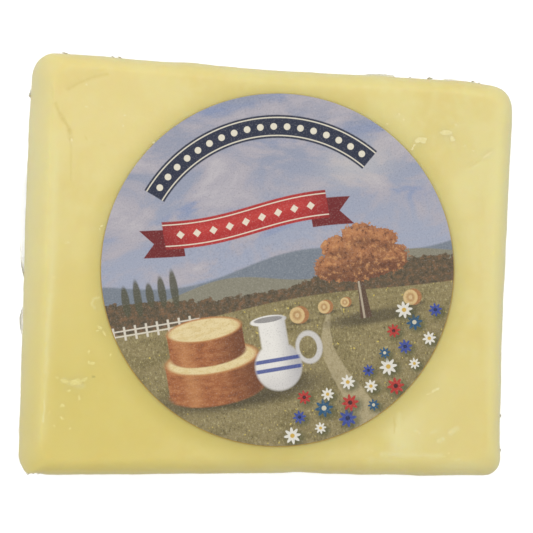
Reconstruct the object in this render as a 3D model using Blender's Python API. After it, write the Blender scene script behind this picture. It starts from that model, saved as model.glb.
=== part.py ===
"""Block of pale cheddar, vacuum packed in clear film, with a round label stuck on its top face.

The block lies flat with the label up. X runs along its long side, Y towards its back, and the
origin is under the middle of the pack, on the surface that it lies on. Named sizes are in
millimetres, and the meshes are in metres.

The pack is one solid, as a vacuum pack is: the film lies on the cheese all over, apart from two
small blisters on the left side. The label is a second solid that follows the top face.
"""

import math
from collections import namedtuple

import bmesh
import bpy
from mathutils import Vector

MM = 0.001

Side = namedtuple("Side", "bow shoulder_width shoulder_height fullness steps")
Corner = namedtuple("Corner", "x y radius top_radius")
Crease = namedtuple("Crease", "start end height width")
Blister = namedtuple("Blister", "y half_length reach")

# Plan: four corners of a block that was cut out of square, counter-clockwise from the front left
CORNERS = (
    Corner(x=-54.4, y=-46.2, radius=4.5, top_radius=4.0),
    Corner(x=51.65, y=-46.3, radius=4.0, top_radius=4.0),
    Corner(x=54.6, y=39.8, radius=6.5, top_radius=5.0),
    Corner(x=-51.3, y=46.75, radius=5.5, top_radius=4.5),
)

# Sides in the same order: front, right, back, left. Each starts at the corner of its own number.
# A bow pulls the middle of the side inwards. A fullness of 2 is a round shoulder, and 1 a chamfer.
SIDES = (
    Side(bow=0.45, shoulder_width=4.4, shoulder_height=6.5, fullness=2.0, steps=22),
    Side(bow=0.55, shoulder_width=3.6, shoulder_height=5.5, fullness=2.0, steps=18),
    Side(bow=0.50, shoulder_width=3.7, shoulder_height=5.5, fullness=2.0, steps=22),
    Side(bow=-0.15, shoulder_width=5.7, shoulder_height=10.0, fullness=1.35, steps=34),
)
CORNER_STEPS = 7

# Heights above the surface that the pack lies on
TOP_EDGE_HEIGHT = 22.6
CROWN_HEIGHT = 0.4
BASE_EDGE_RADIUS = 3.0
WALL_TAPER = 0.4
BASE_EDGE_STEPS = 4
WALL_STEPS = 5
SHOULDER_STEPS = 8

# Rings across the top face, by their distance in from the end of the shoulder
TOP_FACE_INSETS = (1.2, 2.6, 4.4, 7.0, 11.0, 17.0, 25.0, 34.0)

# Half sizes of the top face, over which the crown falls to nothing
CROWN_HALF_LENGTH = 49.0
CROWN_HALF_WIDTH = 42.0

# Folds of the film over the back left corner, pressed into the cheese as low ridges
CREASES = (
    Crease(start=(-45.0, 38.4), end=(-34.6, 42.6), height=0.35, width=1.4),
    Crease(start=(-46.4, 35.0), end=(-42.0, 28.4), height=0.30, width=1.4),
    Crease(start=(-45.6, 26.0), end=(-47.2, 2.0), height=0.16, width=1.0),
    Crease(start=(-47.2, 2.0), end=(-48.9, -36.5), height=0.22, width=1.0),
)

# Blisters of loose film on the left wall
BLISTERS = (
    Blister(y=-12.6, half_length=3.1, reach=1.0),
    Blister(y=-1.6, half_length=2.1, reach=0.7),
)
BLISTER_HEIGHT = 9.5
BLISTER_HALF_HEIGHT = 2.5

# Label, a disc that follows the crown of the top face
LABEL_DIAMETER = 76.2
LABEL_THICKNESS = 0.25
LABEL_CLEARANCE = 0.3
LABEL_CENTRE = (2.75, -1.15)
LABEL_STEPS = 96
LABEL_RINGS = (1.0, 0.72, 0.4)

# Edges sharper than this are shaded sharp
SHARP_ANGLE_DEGREES = 40.0

# Colours as linear values
FILMED_CHEDDAR_COLOUR = (0.76, 0.66, 0.27, 1.0)
LABEL_COLOUR = (0.30, 0.27, 0.25, 1.0)


def clear_scene():
    """Remove the objects that the scene starts with."""
    for thing in list(bpy.data.objects):
        bpy.data.objects.remove(thing, do_unlink=True)


def make_material(name, colour, roughness):
    """Return a Principled material with one colour."""
    material = bpy.data.materials.new(name)
    material.use_nodes = True
    shader = material.node_tree.nodes["Principled BSDF"]
    shader.inputs["Base Color"].default_value = colour
    shader.inputs["Roughness"].default_value = roughness
    shader.inputs["Metallic"].default_value = 0.0
    return material


def smooth_step(share):
    """Ease from 0 to 1 with no slope at either end."""
    return share * share * (3.0 - 2.0 * share)


def inset_corners(insets):
    """Return the plan's corners after each side has moved inwards by its own inset."""
    count = len(CORNERS)
    lines = []
    for number, inset in enumerate(insets):
        start = Vector((CORNERS[number].x, CORNERS[number].y))
        end_corner = CORNERS[(number + 1) % count]
        along = (Vector((end_corner.x, end_corner.y)) - start).normalized()
        inward = Vector((-along.y, along.x))
        lines.append((start + inward * inset, along, inward))
    points = []
    for number in range(count):
        before_point, before_along, _ = lines[number - 1]
        own_point, _, own_inward = lines[number]
        travel = (own_point - before_point).dot(own_inward) / before_along.dot(own_inward)
        points.append(before_point + before_along * travel)
    return points


def fillet(before, corner, after, radius):
    """Return the tangent points and the centre of an arc that rounds a corner."""
    to_before = (before - corner).normalized()
    to_after = (after - corner).normalized()
    half_angle = to_before.angle(to_after) / 2.0
    reach = radius / math.tan(half_angle)
    centre = corner + (to_before + to_after).normalized() * (radius / math.sin(half_angle))
    return corner + to_before * reach, corner + to_after * reach, centre


def ring_plan(insets, radii):
    """Return one ring of the block as (point, side before, side after, share of the turn) rows."""
    corners = inset_corners(insets)
    count = len(corners)
    fillets = []
    for number in range(count):
        before = corners[number - 1]
        after = corners[(number + 1) % count]
        fillets.append(fillet(before, corners[number], after, radii[number]))
    rows = []
    for number in range(count):
        arc_start, arc_end, centre = fillets[number]
        spoke = arc_start - centre
        turn = spoke.angle(arc_end - centre)
        for step in range(CORNER_STEPS):
            share = step / CORNER_STEPS
            angle = turn * share
            turned = Vector((
                spoke.x * math.cos(angle) - spoke.y * math.sin(angle),
                spoke.x * math.sin(angle) + spoke.y * math.cos(angle),
            ))
            rows.append((centre + turned, number - 1, number, smooth_step(share)))
        run_start = arc_end
        run_end = fillets[(number + 1) % count][0]
        along = (run_end - run_start).normalized()
        inward = Vector((-along.y, along.x))
        side = SIDES[number]
        for step in range(side.steps):
            share = step / side.steps
            pull = side.bow * math.sin(math.pi * share) ** 2
            rows.append((run_start.lerp(run_end, share) + inward * pull, number, number, 0.0))
    return rows


def mixed_radii(share):
    """Return the corner radii between the wall's, at 0, and the top face's, at 1."""
    return [corner.radius + (corner.top_radius - corner.radius) * share for corner in CORNERS]


def distance_to_segment(point, start, end):
    """Return how far a plan point lies from a straight line between two others."""
    start = Vector(start)
    line = Vector(end) - start
    share = (point - start).dot(line) / line.length_squared
    share = min(max(share, 0.0), 1.0)
    return (point - start - line * share).length


def crown(x, y):
    """Return how far the top face stands above its edge at a plan point."""
    along = max(0.0, 1.0 - (x / CROWN_HALF_LENGTH) ** 2)
    across = max(0.0, 1.0 - (y / CROWN_HALF_WIDTH) ** 2)
    return CROWN_HEIGHT * along * across


def crease_relief(point):
    """Return the height that the film's folds add at a plan point."""
    relief = 0.0
    for crease in CREASES:
        distance = distance_to_segment(point, crease.start, crease.end)
        relief = max(relief, crease.height * math.exp(-((distance / crease.width) ** 2)))
    return relief


def blister_reach(y, z):
    """Return how far loose film stands out of the left wall at a height."""
    reach = 0.0
    for blister in BLISTERS:
        along = (y - blister.y) / blister.half_length
        up = (z - BLISTER_HEIGHT) / BLISTER_HALF_HEIGHT
        reach += blister.reach * math.exp(-(along * along + up * up))
    return reach


def base_ring(step):
    """Return a ring of the rounded lower edge, from the flat base up to the wall."""
    angle = math.pi / 2.0 * step / BASE_EDGE_STEPS
    inset = WALL_TAPER + BASE_EDGE_RADIUS * (1.0 - math.sin(angle))
    height = BASE_EDGE_RADIUS * (1.0 - math.cos(angle))
    rows = ring_plan([inset] * len(SIDES), mixed_radii(0.0))
    return [(point.x, point.y, height) for point, _, _, _ in rows]


def wall_ring(step):
    """Return a ring of the wall, which widens a little up to where its shoulder starts."""
    share = step / WALL_STEPS
    inset = WALL_TAPER * (1.0 - share) ** 2
    rows = ring_plan([inset] * len(SIDES), mixed_radii(0.0))
    tops = [TOP_EDGE_HEIGHT - side.shoulder_height for side in SIDES]
    ring = []
    for point, before, after, turn in rows:
        top = tops[before] + (tops[after] - tops[before]) * turn
        height = BASE_EDGE_RADIUS + (top - BASE_EDGE_RADIUS) * share
        is_left_side = before == after == len(SIDES) - 1
        reach = blister_reach(point.y, height) if is_left_side else 0.0
        ring.append((point.x - reach, point.y, height))
    return ring


def shoulder_ring(step):
    """Return a ring of the shoulder, between the top of the wall and the top face."""
    share = step / SHOULDER_STEPS
    angle = math.pi / 2.0 * share
    insets = []
    heights = []
    for side in SIDES:
        power = 2.0 / side.fullness
        insets.append(side.shoulder_width * (1.0 - math.cos(angle) ** power))
        heights.append(side.shoulder_height * (math.sin(angle) ** power - 1.0))
    ring = []
    for point, before, after, turn in ring_plan(insets, mixed_radii(share)):
        height = heights[before] + (heights[after] - heights[before]) * turn
        relief = (crease_relief(point) + crown(point.x, point.y)) * share
        ring.append((point.x, point.y, TOP_EDGE_HEIGHT + height + relief))
    return ring


def top_face_ring(extra_inset):
    """Return a ring of the top face, with the crown and the film's folds on it."""
    insets = [side.shoulder_width + extra_inset for side in SIDES]
    ring = []
    for point, _, _, _ in ring_plan(insets, mixed_radii(1.0)):
        relief = crown(point.x, point.y) + crease_relief(point)
        ring.append((point.x, point.y, TOP_EDGE_HEIGHT + relief))
    return ring


def pack_rings():
    """Return every ring of the pack from the flat base to the middle of the top face."""
    rings = [base_ring(step) for step in range(BASE_EDGE_STEPS)]
    rings += [wall_ring(step) for step in range(WALL_STEPS)]
    rings += [shoulder_ring(step) for step in range(SHOULDER_STEPS + 1)]
    rings += [top_face_ring(inset) for inset in TOP_FACE_INSETS]
    return rings


def plan_middle(rings):
    """Return the middle of the rings' bounding box, seen from above."""
    xs = [point[0] for ring in rings for point in ring]
    ys = [point[1] for ring in rings for point in ring]
    return (min(xs) + max(xs)) / 2.0, (min(ys) + max(ys)) / 2.0


def add_ring(mesh, ring, middle):
    """Add one ring of points to a mesh, centred and in metres."""
    vertices = []
    for x, y, z in ring:
        vertices.append(mesh.verts.new(((x - middle[0]) * MM, (y - middle[1]) * MM, z * MM)))
    return vertices


def bridge(mesh, lower, upper):
    """Join two rings of the same count with a band of faces."""
    count = len(lower)
    for number in range(count):
        following = (number + 1) % count
        mesh.faces.new((lower[number], lower[following], upper[following], upper[number]))


def cap_with_pole(mesh, ring, pole):
    """Close a ring upwards with triangles to one point."""
    count = len(ring)
    for number in range(count):
        mesh.faces.new((ring[number], ring[(number + 1) % count], pole))


def finish_object(name, mesh, material):
    """Turn a bmesh into a smooth shaded object with one material."""
    data = bpy.data.meshes.new(name)
    mesh.to_mesh(data)
    mesh.free()
    data.materials.append(material)
    data.shade_smooth()
    data.set_sharp_from_angle(angle=math.radians(SHARP_ANGLE_DEGREES))
    thing = bpy.data.objects.new(name, data)
    bpy.context.scene.collection.objects.link(thing)
    return thing


def make_cheese_pack(rings, middle):
    """Build the sealed pack as one closed solid with a flat base."""
    mesh = bmesh.new()
    bands = [add_ring(mesh, ring, middle) for ring in rings]
    mesh.faces.new(list(reversed(bands[0])))
    for lower, upper in zip(bands, bands[1:]):
        bridge(mesh, lower, upper)
    pole_height = TOP_EDGE_HEIGHT + crown(0.0, 0.0)
    pole = mesh.verts.new((-middle[0] * MM, -middle[1] * MM, pole_height * MM))
    cap_with_pole(mesh, bands[-1], pole)
    material = make_material("Filmed Cheddar", FILMED_CHEDDAR_COLOUR, 0.3)
    return finish_object("cheese_pack", mesh, material)


def label_ring(share, lift):
    """Return a ring of the label's face, which stands clear of the top face by its lift."""
    radius = LABEL_DIAMETER / 2.0 * share
    ring = []
    for step in range(LABEL_STEPS):
        angle = 2.0 * math.pi * step / LABEL_STEPS
        x = LABEL_CENTRE[0] + radius * math.cos(angle)
        y = LABEL_CENTRE[1] + radius * math.sin(angle)
        ring.append((x, y, TOP_EDGE_HEIGHT + crown(x, y) + lift))
    return ring


def make_label(middle):
    """Build the round label as a thin disc over the top face."""
    mesh = bmesh.new()
    under = [add_ring(mesh, label_ring(share, LABEL_CLEARANCE), middle) for share in LABEL_RINGS]
    face_lift = LABEL_CLEARANCE + LABEL_THICKNESS
    face = [add_ring(mesh, label_ring(share, face_lift), middle) for share in LABEL_RINGS]
    bridge(mesh, under[0], face[0])
    for outer, inner in zip(face, face[1:]):
        bridge(mesh, outer, inner)
    for outer, inner in zip(under, under[1:]):
        bridge(mesh, inner, outer)
    centre_x, centre_y = LABEL_CENTRE
    centre_height = TOP_EDGE_HEIGHT + crown(centre_x, centre_y)
    for ring, lift in ((face[-1], face_lift), (list(reversed(under[-1])), LABEL_CLEARANCE)):
        place = (centre_x - middle[0], centre_y - middle[1], centre_height + lift)
        pole = mesh.verts.new(tuple(length * MM for length in place))
        cap_with_pole(mesh, ring, pole)
    material = make_material("Label Paper", LABEL_COLOUR, 0.5)
    return finish_object("label", mesh, material)


def main():
    """Build the pack and its label."""
    clear_scene()
    rings = pack_rings()
    middle = plan_middle(rings)
    make_cheese_pack(rings, middle)
    make_label(middle)


main()
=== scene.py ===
# %% [markdown]
# # A block of cheddar in clear film
#
# The object is a flat block of pale cheddar, sealed in clear film by a vacuum, with a round
# printed label on top. The solids of the frame hold its size. This script replaces them with
# what the eye sees: waxy cheese, the film over it with its folds and loose spots, the seam that
# is folded under one side, with its welded ribs, pale flakes under the film, and the label.

# %% Load the frame
import math
from collections import namedtuple

import bpy
import numpy as np
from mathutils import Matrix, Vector
from mathutils import noise
from mathutils.bvhtree import BVHTree


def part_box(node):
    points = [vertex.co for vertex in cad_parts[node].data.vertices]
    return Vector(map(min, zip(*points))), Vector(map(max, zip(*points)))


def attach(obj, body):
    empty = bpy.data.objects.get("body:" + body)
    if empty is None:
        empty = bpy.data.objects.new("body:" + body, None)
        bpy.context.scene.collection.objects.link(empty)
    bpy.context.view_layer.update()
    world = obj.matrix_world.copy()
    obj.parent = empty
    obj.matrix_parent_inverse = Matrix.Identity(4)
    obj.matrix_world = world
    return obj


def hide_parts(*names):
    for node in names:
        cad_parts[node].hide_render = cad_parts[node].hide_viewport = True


MM = 0.001

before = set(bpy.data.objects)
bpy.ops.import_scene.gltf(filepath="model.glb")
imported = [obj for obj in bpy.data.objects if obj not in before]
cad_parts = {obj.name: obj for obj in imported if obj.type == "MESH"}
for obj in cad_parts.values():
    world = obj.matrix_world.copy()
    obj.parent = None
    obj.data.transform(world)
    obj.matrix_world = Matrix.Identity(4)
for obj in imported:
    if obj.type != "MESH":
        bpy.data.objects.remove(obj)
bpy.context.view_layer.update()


def add_object(name, data):
    """Make an object from its data, and put it in the scene."""
    made = bpy.data.objects.new(name, data)
    bpy.context.scene.collection.objects.link(made)
    return made


# %% [markdown]
# The block was photographed from straight above. A long lens half a metre away shows almost
# nothing of its sides, so the camera here does the same. Its height and its lens set how many
# pixels a millimetre of the label takes.

# %% Camera
PHOTO_WIDTH_PX = 533
LABEL_PX_PER_MM = 4.63
CAMERA_DISTANCE = 0.5
CAMERA_AIM = (0.40 * MM, -0.44 * MM)
SENSOR_WIDTH_MM = 36.0

label_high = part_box("label")[1]
seen_width_mm = PHOTO_WIDTH_PX / LABEL_PX_PER_MM
camera_data = bpy.data.cameras.new("Overhead Camera")
camera_data.sensor_width = SENSOR_WIDTH_MM
camera_data.lens = SENSOR_WIDTH_MM * CAMERA_DISTANCE / (seen_width_mm * MM)
camera = add_object("Overhead Camera", camera_data)
camera.location = (*CAMERA_AIM, label_high[2] + CAMERA_DISTANCE)
bpy.context.scene.camera = camera
print("lens in mm", round(camera_data.lens, 1))

# %% [markdown]
# A block cut from a larger cheese is never quite square. Its plan has four corners, each with
# its own radius, and four sides that the vacuum pulls in or leaves full. The shoulder between
# the top and a side is round, apart from the left one, which a slanting cut left almost flat.

# %% The plan of the block
Side = namedtuple("Side", "bow shoulder_width shoulder_height fullness steps")
Corner = namedtuple("Corner", "x y radius top_radius")

corners = (
    Corner(x=-54.4, y=-46.2, radius=4.5, top_radius=4.0),
    Corner(x=51.65, y=-46.3, radius=4.0, top_radius=4.0),
    Corner(x=54.6, y=39.8, radius=6.5, top_radius=5.0),
    Corner(x=-51.3, y=46.75, radius=5.5, top_radius=4.5),
)
sides = (
    Side(bow=0.45, shoulder_width=4.4, shoulder_height=6.5, fullness=2.0, steps=200),
    Side(bow=0.55, shoulder_width=3.6, shoulder_height=5.5, fullness=2.0, steps=180),
    Side(bow=0.50, shoulder_width=3.7, shoulder_height=5.5, fullness=2.0, steps=260),
    Side(bow=-0.15, shoulder_width=5.7, shoulder_height=10.0, fullness=1.35, steps=220),
)
CORNER_STEPS = 26
around_count = sum(side.steps for side in sides) + CORNER_STEPS * len(corners)
print("points around the block", around_count)

# %% Helpers for a ring of the plan
def unit(vector):
    """Return a plan vector with a length of one."""
    return vector / np.hypot(*vector)


def cross(first, second):
    """Return the turn from one plan vector to another, as their cross product."""
    return first[0] * second[1] - first[1] * second[0]


def eased(share):
    """Return a share from 0 to 1 with a soft start and a soft end."""
    return share * share * (3.0 - 2.0 * share)


def inset_corners(insets):
    """Return the plan's corners after each side has moved inwards by its own inset."""
    points = np.array([(corner.x, corner.y) for corner in corners])
    alongs = [unit(points[(number + 1) % 4] - points[number]) for number in range(4)]
    inwards = [np.array((-along[1], along[0])) for along in alongs]
    starts = [points[number] + inwards[number] * insets[number] for number in range(4)]
    moved = []
    for number in range(4):
        gap = starts[number] - starts[number - 1]
        travel = cross(gap, alongs[number]) / cross(alongs[number - 1], alongs[number])
        moved.append(starts[number - 1] + alongs[number - 1] * travel)
    return moved


def ring_plan(insets, radii):
    """Return the points of one ring of the plan, counter-clockwise from the front left corner."""
    moved = inset_corners(insets)
    tangents = []
    for number in range(4):
        corner = moved[number]
        to_before = unit(moved[number - 1] - corner)
        to_after = unit(moved[(number + 1) % 4] - corner)
        half_angle = math.acos(float(np.clip(to_before @ to_after, -1.0, 1.0))) / 2.0
        reach = radii[number] / math.tan(half_angle)
        centre = corner + unit(to_before + to_after) * (radii[number] / math.sin(half_angle))
        tangents.append((corner + to_before * reach, corner + to_after * reach, centre))
    pieces = []
    for number in range(4):
        arc_start, arc_end, centre = tangents[number]
        spoke = arc_start - centre
        end_spoke = arc_end - centre
        turn = math.atan2(cross(spoke, end_spoke), spoke @ end_spoke)
        angles = turn * np.arange(CORNER_STEPS) / CORNER_STEPS
        turned_x = spoke[0] * np.cos(angles) - spoke[1] * np.sin(angles)
        turned_y = spoke[0] * np.sin(angles) + spoke[1] * np.cos(angles)
        pieces.append(centre + np.stack((turned_x, turned_y), axis=1))
        run_end = tangents[(number + 1) % 4][0]
        along = unit(run_end - arc_end)
        shares = np.arange(sides[number].steps) / sides[number].steps
        pull = sides[number].bow * np.sin(math.pi * shares) ** 2
        run = arc_end + np.outer(shares, run_end - arc_end)
        pieces.append(run + np.outer(pull, (-along[1], along[0])))
    return np.concatenate(pieces)


def along_ring(values):
    """Spread one value for each side along a ring, easing from side to side round the corners."""
    share = eased(np.arange(CORNER_STEPS) / CORNER_STEPS)
    parts = []
    for number in range(4):
        parts.append(values[number - 1] + (values[number] - values[number - 1]) * share)
        parts.append(np.full(sides[number].steps, float(values[number])))
    return np.concatenate(parts)


widest = ring_plan([0.0] * 4, [corner.radius for corner in corners])
print("widest ring in mm", np.ptp(widest, axis=0).round(2))

# %% [markdown]
# The outer surface is a stack of rings, from the middle of the flat base, out and up the wall,
# over the shoulder and in across the top, which stands a little higher in its middle. Rings lie
# close together where the form bends, and far apart under the label, where nothing shows.

# %% Heights of the rings
TOP_EDGE_HEIGHT = 22.6
CROWN_HEIGHT = 0.4
CROWN_HALF_LENGTH = 49.0
CROWN_HALF_WIDTH = 42.0
BASE_EDGE_RADIUS = 3.0
WALL_TAPER = 0.4


def crown(x, y):
    """Return how far the top face stands above its edge."""
    along = np.maximum(0.0, 1.0 - (x / CROWN_HALF_LENGTH) ** 2)
    across = np.maximum(0.0, 1.0 - (y / CROWN_HALF_WIDTH) ** 2)
    return CROWN_HEIGHT * along * across


def mixed_radii(share):
    """Return the corner radii between the wall's, at 0, and the top face's, at 1."""
    return [corner.radius + (corner.top_radius - corner.radius) * share for corner in corners]


def base_ring(extra_inset, share):
    """Return a ring of the base and its round edge, which rises from share 0 to share 1."""
    angle = math.pi / 2.0 * share
    inset = WALL_TAPER + BASE_EDGE_RADIUS * (1.0 - math.sin(angle)) + extra_inset
    plan = ring_plan([inset] * 4, mixed_radii(0.0))
    height = np.full(len(plan), BASE_EDGE_RADIUS * (1.0 - math.cos(angle)))
    return np.column_stack((plan, height))


def wall_ring(share):
    """Return a ring of the wall, which widens a little up to where its shoulder starts."""
    plan = ring_plan([WALL_TAPER * (1.0 - share) ** 2] * 4, mixed_radii(0.0))
    wall_top = along_ring([TOP_EDGE_HEIGHT - side.shoulder_height for side in sides])
    return np.column_stack((plan, BASE_EDGE_RADIUS + (wall_top - BASE_EDGE_RADIUS) * share))


def shoulder_ring(share):
    """Return a ring of the shoulder, between the top of the wall and the top face."""
    angle = math.pi / 2.0 * share
    insets = []
    drops = []
    for side in sides:
        power = 2.0 / side.fullness
        insets.append(side.shoulder_width * (1.0 - math.cos(angle) ** power))
        drops.append(side.shoulder_height * (math.sin(angle) ** power - 1.0))
    plan = ring_plan(insets, mixed_radii(share))
    height = TOP_EDGE_HEIGHT + along_ring(drops) + crown(plan[:, 0], plan[:, 1]) * share
    return np.column_stack((plan, height))


def top_ring(extra_inset):
    """Return a ring of the top face."""
    plan = ring_plan([side.shoulder_width + extra_inset for side in sides], mixed_radii(1.0))
    return np.column_stack((plan, TOP_EDGE_HEIGHT + crown(plan[:, 0], plan[:, 1])))


# %% Stack the rings
BASE_INSETS = (35.0, 27.0, 20.0, 14.0, 9.0, 6.0, 4.0, 2.6, 1.5, 0.7)
BASE_EDGE_STEPS = 7
WALL_STEPS = 32
SHOULDER_STEPS = 22
TOP_FINE_STEP = 0.5
TOP_FINE_DEPTH = 12.0
TOP_COARSE_INSETS = (14.0, 18.0, 23.0, 29.0, 35.0)

rings = [base_ring(inset, 0.0) for inset in BASE_INSETS]
rings += [base_ring(0.0, step / BASE_EDGE_STEPS) for step in range(BASE_EDGE_STEPS)]
rings += [wall_ring(step / WALL_STEPS) for step in range(WALL_STEPS)]
rings += [shoulder_ring(step / SHOULDER_STEPS) for step in range(SHOULDER_STEPS + 1)]
rings += [top_ring(inset) for inset in np.arange(TOP_FINE_STEP, TOP_FINE_DEPTH, TOP_FINE_STEP)]
rings += [top_ring(inset) for inset in TOP_COARSE_INSETS]
outer = np.array(rings)
print("rings", len(outer), "points", len(outer) * around_count)

# %% [markdown]
# A knife wanders and a vacuum pulls unevenly, so the outline leaves its smooth plan by a few
# tenths of a millimetre. Each push moves the outline near one place outwards, or inwards where
# its distance is negative, and fades over the shoulder, so the top face stays as it is. A push
# is a place, the reach of its effect and its distance.

# %% Where the outline is fuller or pulled in
pushes = (
    (-51.4, 32.0, 6.0, 0.16), (-53.0, 15.0, 12.0, 0.36), (-53.3, -5.0, 9.0, 0.12),
    (-54.0, -27.0, 12.0, 0.28), (-40.5, 45.8, 6.0, 0.30), (-15.6, 44.5, 6.0, 0.16),
    (4.0, 43.6, 11.0, -0.17), (25.6, 42.0, 3.2, 0.18), (37.0, 40.9, 4.0, -0.12),
    (48.2, 40.6, 3.2, -0.44), (50.2, 39.0, 2.4, -0.20), (54.2, 20.0, 6.0, -0.10),
    (54.0, 2.0, 6.0, 0.10), (52.6, -34.0, 11.0, -0.34), (37.0, -46.0, 12.0, 0.22),
    (22.0, -46.0, 7.0, 0.16), (8.6, -46.0, 2.5, -0.12), (15.0, -46.0, 4.0, 0.10),
    (-20.0, -46.0, 9.0, 0.14), (-29.0, -46.0, 6.0, 0.10), (-49.9, -46.0, 1.6, -0.40),
    (-52.0, -45.2, 1.1, 0.35),
)
PUSH_DEPTH = 8.0


def hill(distance, width):
    """Return a soft bump that is 1 at no distance and near 0 at twice its width."""
    return np.exp(-((distance / width) ** 2))


def plan_gap(x, y):
    """Return how far each point of the widest ring lies from a place."""
    return np.hypot(widest[:, 0] - x, widest[:, 1] - y)


def plan_outwards(plan):
    """Return the outward direction at each point of a ring of the plan."""
    along = np.roll(plan, -1, axis=0) - np.roll(plan, 1, axis=0)
    outwards = np.column_stack((along[:, 1], -along[:, 0]))
    return outwards / np.linalg.norm(outwards, axis=1, keepdims=True)


push_distance = np.zeros(around_count)
for x, y, reach, distance in pushes:
    push_distance += distance * hill(plan_gap(x, y), reach)
inward = np.linalg.norm(outer[:, :, :2] - widest, axis=2)
push_share = eased(np.clip(1.0 - inward / PUSH_DEPTH, 0.0, 1.0))
outer[:, :, :2] += (push_distance * push_share)[:, :, None] * plan_outwards(widest)
print("outline pushed from", push_distance.min().round(2), "to", push_distance.max().round(2))

# %% Place the rings in the frame
pack_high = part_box("cheese_pack")[1]
outer[:, :, 0] += pack_high[0] / MM - widest[:, 0].max()
outer[:, :, 1] += pack_high[1] / MM - widest[:, 1].max()
grid_y = outer[:, :, 1]
grid_z = outer[:, :, 2]
print("outer size in mm", np.ptp(outer.reshape(-1, 3), axis=0).round(1))

# %% [markdown]
# Relief is a distance along the surface's normal. The normals come from the grid itself: the
# direction round a ring, crossed with the direction from ring to ring, points outwards. Each
# noise is given by the size of its features in millimetres and by its shift.

# %% Normals and noise on the grid
NOISES = ((17.0, 3.0), (5.0, 11.0), (1.6, 29.0))
SEAM_NOISE = (4.0, 41.0)
NOISE_OCTAVES = 2


def grid_normals(grid):
    """Return the outward normal at each point of a stack of rings."""
    around = np.roll(grid, -1, axis=1) - np.roll(grid, 1, axis=1)
    normals = np.cross(around, np.gradient(grid, axis=0))
    return normals / np.linalg.norm(normals, axis=2, keepdims=True)


def noise_on(grid, feature_mm, shift):
    """Return smooth noise of about -1 to 1 on the grid, with features of the given size."""
    start = Vector((shift, 2.3 * shift, 5.1 * shift))
    points = grid.reshape(-1, 3) / feature_mm
    values = [noise.fractal(Vector(point) + start, 1.0, 2.0, NOISE_OCTAVES) for point in points]
    return np.array(values).reshape(grid.shape[:2])


outer_normals = grid_normals(outer)
upness = np.clip(outer_normals[:, :, 2], 0.0, 1.0)
downness = np.clip(-outer_normals[:, :, 2], 0.0, 1.0)
sideness = 1.0 - np.clip(upness + downness, 0.0, 1.0)
broad_noise, middle_noise, fine_noise = [noise_on(outer, *pair) for pair in NOISES]
print("noise from", broad_noise.min().round(2), "to", broad_noise.max().round(2))

# %% [markdown]
# The photograph shows where the film gathers. Two folds cross the back left corner, a fainter
# one runs forward from them, a long one follows the slanted left shoulder, and one crosses the
# right edge. A fold is a line, so its relief falls away with the distance from that line.

# %% Folds of the top face
Fold = namedtuple("Fold", "points height groove width")

folds = (
    Fold(((-43.0, 38.0), (-39.4, 40.1), (-34.4, 41.9)), 0.22, 0.30, 0.75),
    Fold(((-44.6, 33.6), (-43.7, 31.6), (-41.9, 28.6)), 0.20, 0.30, 0.75),
    Fold(((-41.8, 28.4), (-41.9, 19.8)), 0.06, 0.10, 0.6),
    Fold(((44.1, 21.0), (49.3, 24.4)), 0.10, 0.16, 0.6),
)
ARRIS_POINTS = (
    (-44.9, 27.0), (-45.7, 11.1), (-46.0, -2.7), (-46.8, -14.8), (-47.6, -25.0), (-48.1, -37.3),
)
arris = Fold(ARRIS_POINTS, 0.14, 0.0, 0.9)
ARRIS_FADE = 9.0
TOP_SIDE_HEIGHT = 11.0


def distance_to_line(grid, points):
    """Return how far each grid point lies from a line through plan points, seen from above."""
    nearest = np.full(grid.shape[:2], np.inf)
    for start, end in zip(points, points[1:]):
        start = np.array(start)
        line = np.array(end) - start
        offset = grid[:, :, :2] - start
        share = np.clip(offset @ line / (line @ line), 0.0, 1.0)
        gap = offset - share[:, :, None] * line
        nearest = np.minimum(nearest, np.hypot(gap[:, :, 0], gap[:, :, 1]))
    return nearest


on_top_side = grid_z > TOP_SIDE_HEIGHT
arris_fade = np.clip((ARRIS_POINTS[0][1] - grid_y) / ARRIS_FADE, 0.0, 1.0)
fold_height = np.zeros(outer.shape[:2])
fold_groove = np.zeros(outer.shape[:2])
for fold in folds + (arris,):
    fade = arris_fade if fold is arris else 1.0
    bump = hill(distance_to_line(outer, fold.points), fold.width) * on_top_side * fade
    fold_height = np.maximum(fold_height, fold.height * bump)
    fold_groove = np.maximum(fold_groove, fold.groove * bump)
print("highest fold in mm", fold_height.max().round(2))

# %% [markdown]
# Cheese is cut by a wire and then pressed by the film, so its faces are nearly flat with slow,
# shallow waves, and its walls a little rougher. The mesh is built from the grid, with a fan of
# triangles that closes the rings at each end.

# %% Meshes from grids
def add_mesh(name, points_mm, faces):
    """Add a smooth mesh whose points are given in millimetres."""
    data = bpy.data.meshes.new(name)
    data.from_pydata((np.asarray(points_mm) * MM).tolist(), [], faces)
    data.shade_smooth()
    return add_object(name, data)


def mesh_from_grid(name, grid):
    """Build a closed mesh from a stack of rings."""
    count = grid.shape[1]
    points = np.concatenate((grid.reshape(-1, 3), [grid[0].mean(axis=0), grid[-1].mean(axis=0)]))
    faces = []
    last = (len(grid) - 1) * count
    for number in range(count):
        following = (number + 1) % count
        faces.append((len(points) - 2, following, number))
        for lower in range(0, last, count):
            upper = lower + count
            faces.append((lower + number, lower + following, upper + following, upper + number))
        faces.append((last + number, last + following, len(points) - 1))
    return add_mesh(name, points, faces)


def triangles(piece):
    """Return how many triangles a piece has."""
    return sum(len(face.vertices) - 2 for face in piece.data.polygons)


def store_values(piece, name, grid_values):
    """Store one number for each point of a closed grid mesh, and 0 for its two poles."""
    layer = piece.data.attributes.new(name, "FLOAT", "POINT")
    layer.data.foreach_set("value", np.append(grid_values.ravel(), [0.0, 0.0]).astype(np.float32))


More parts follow.
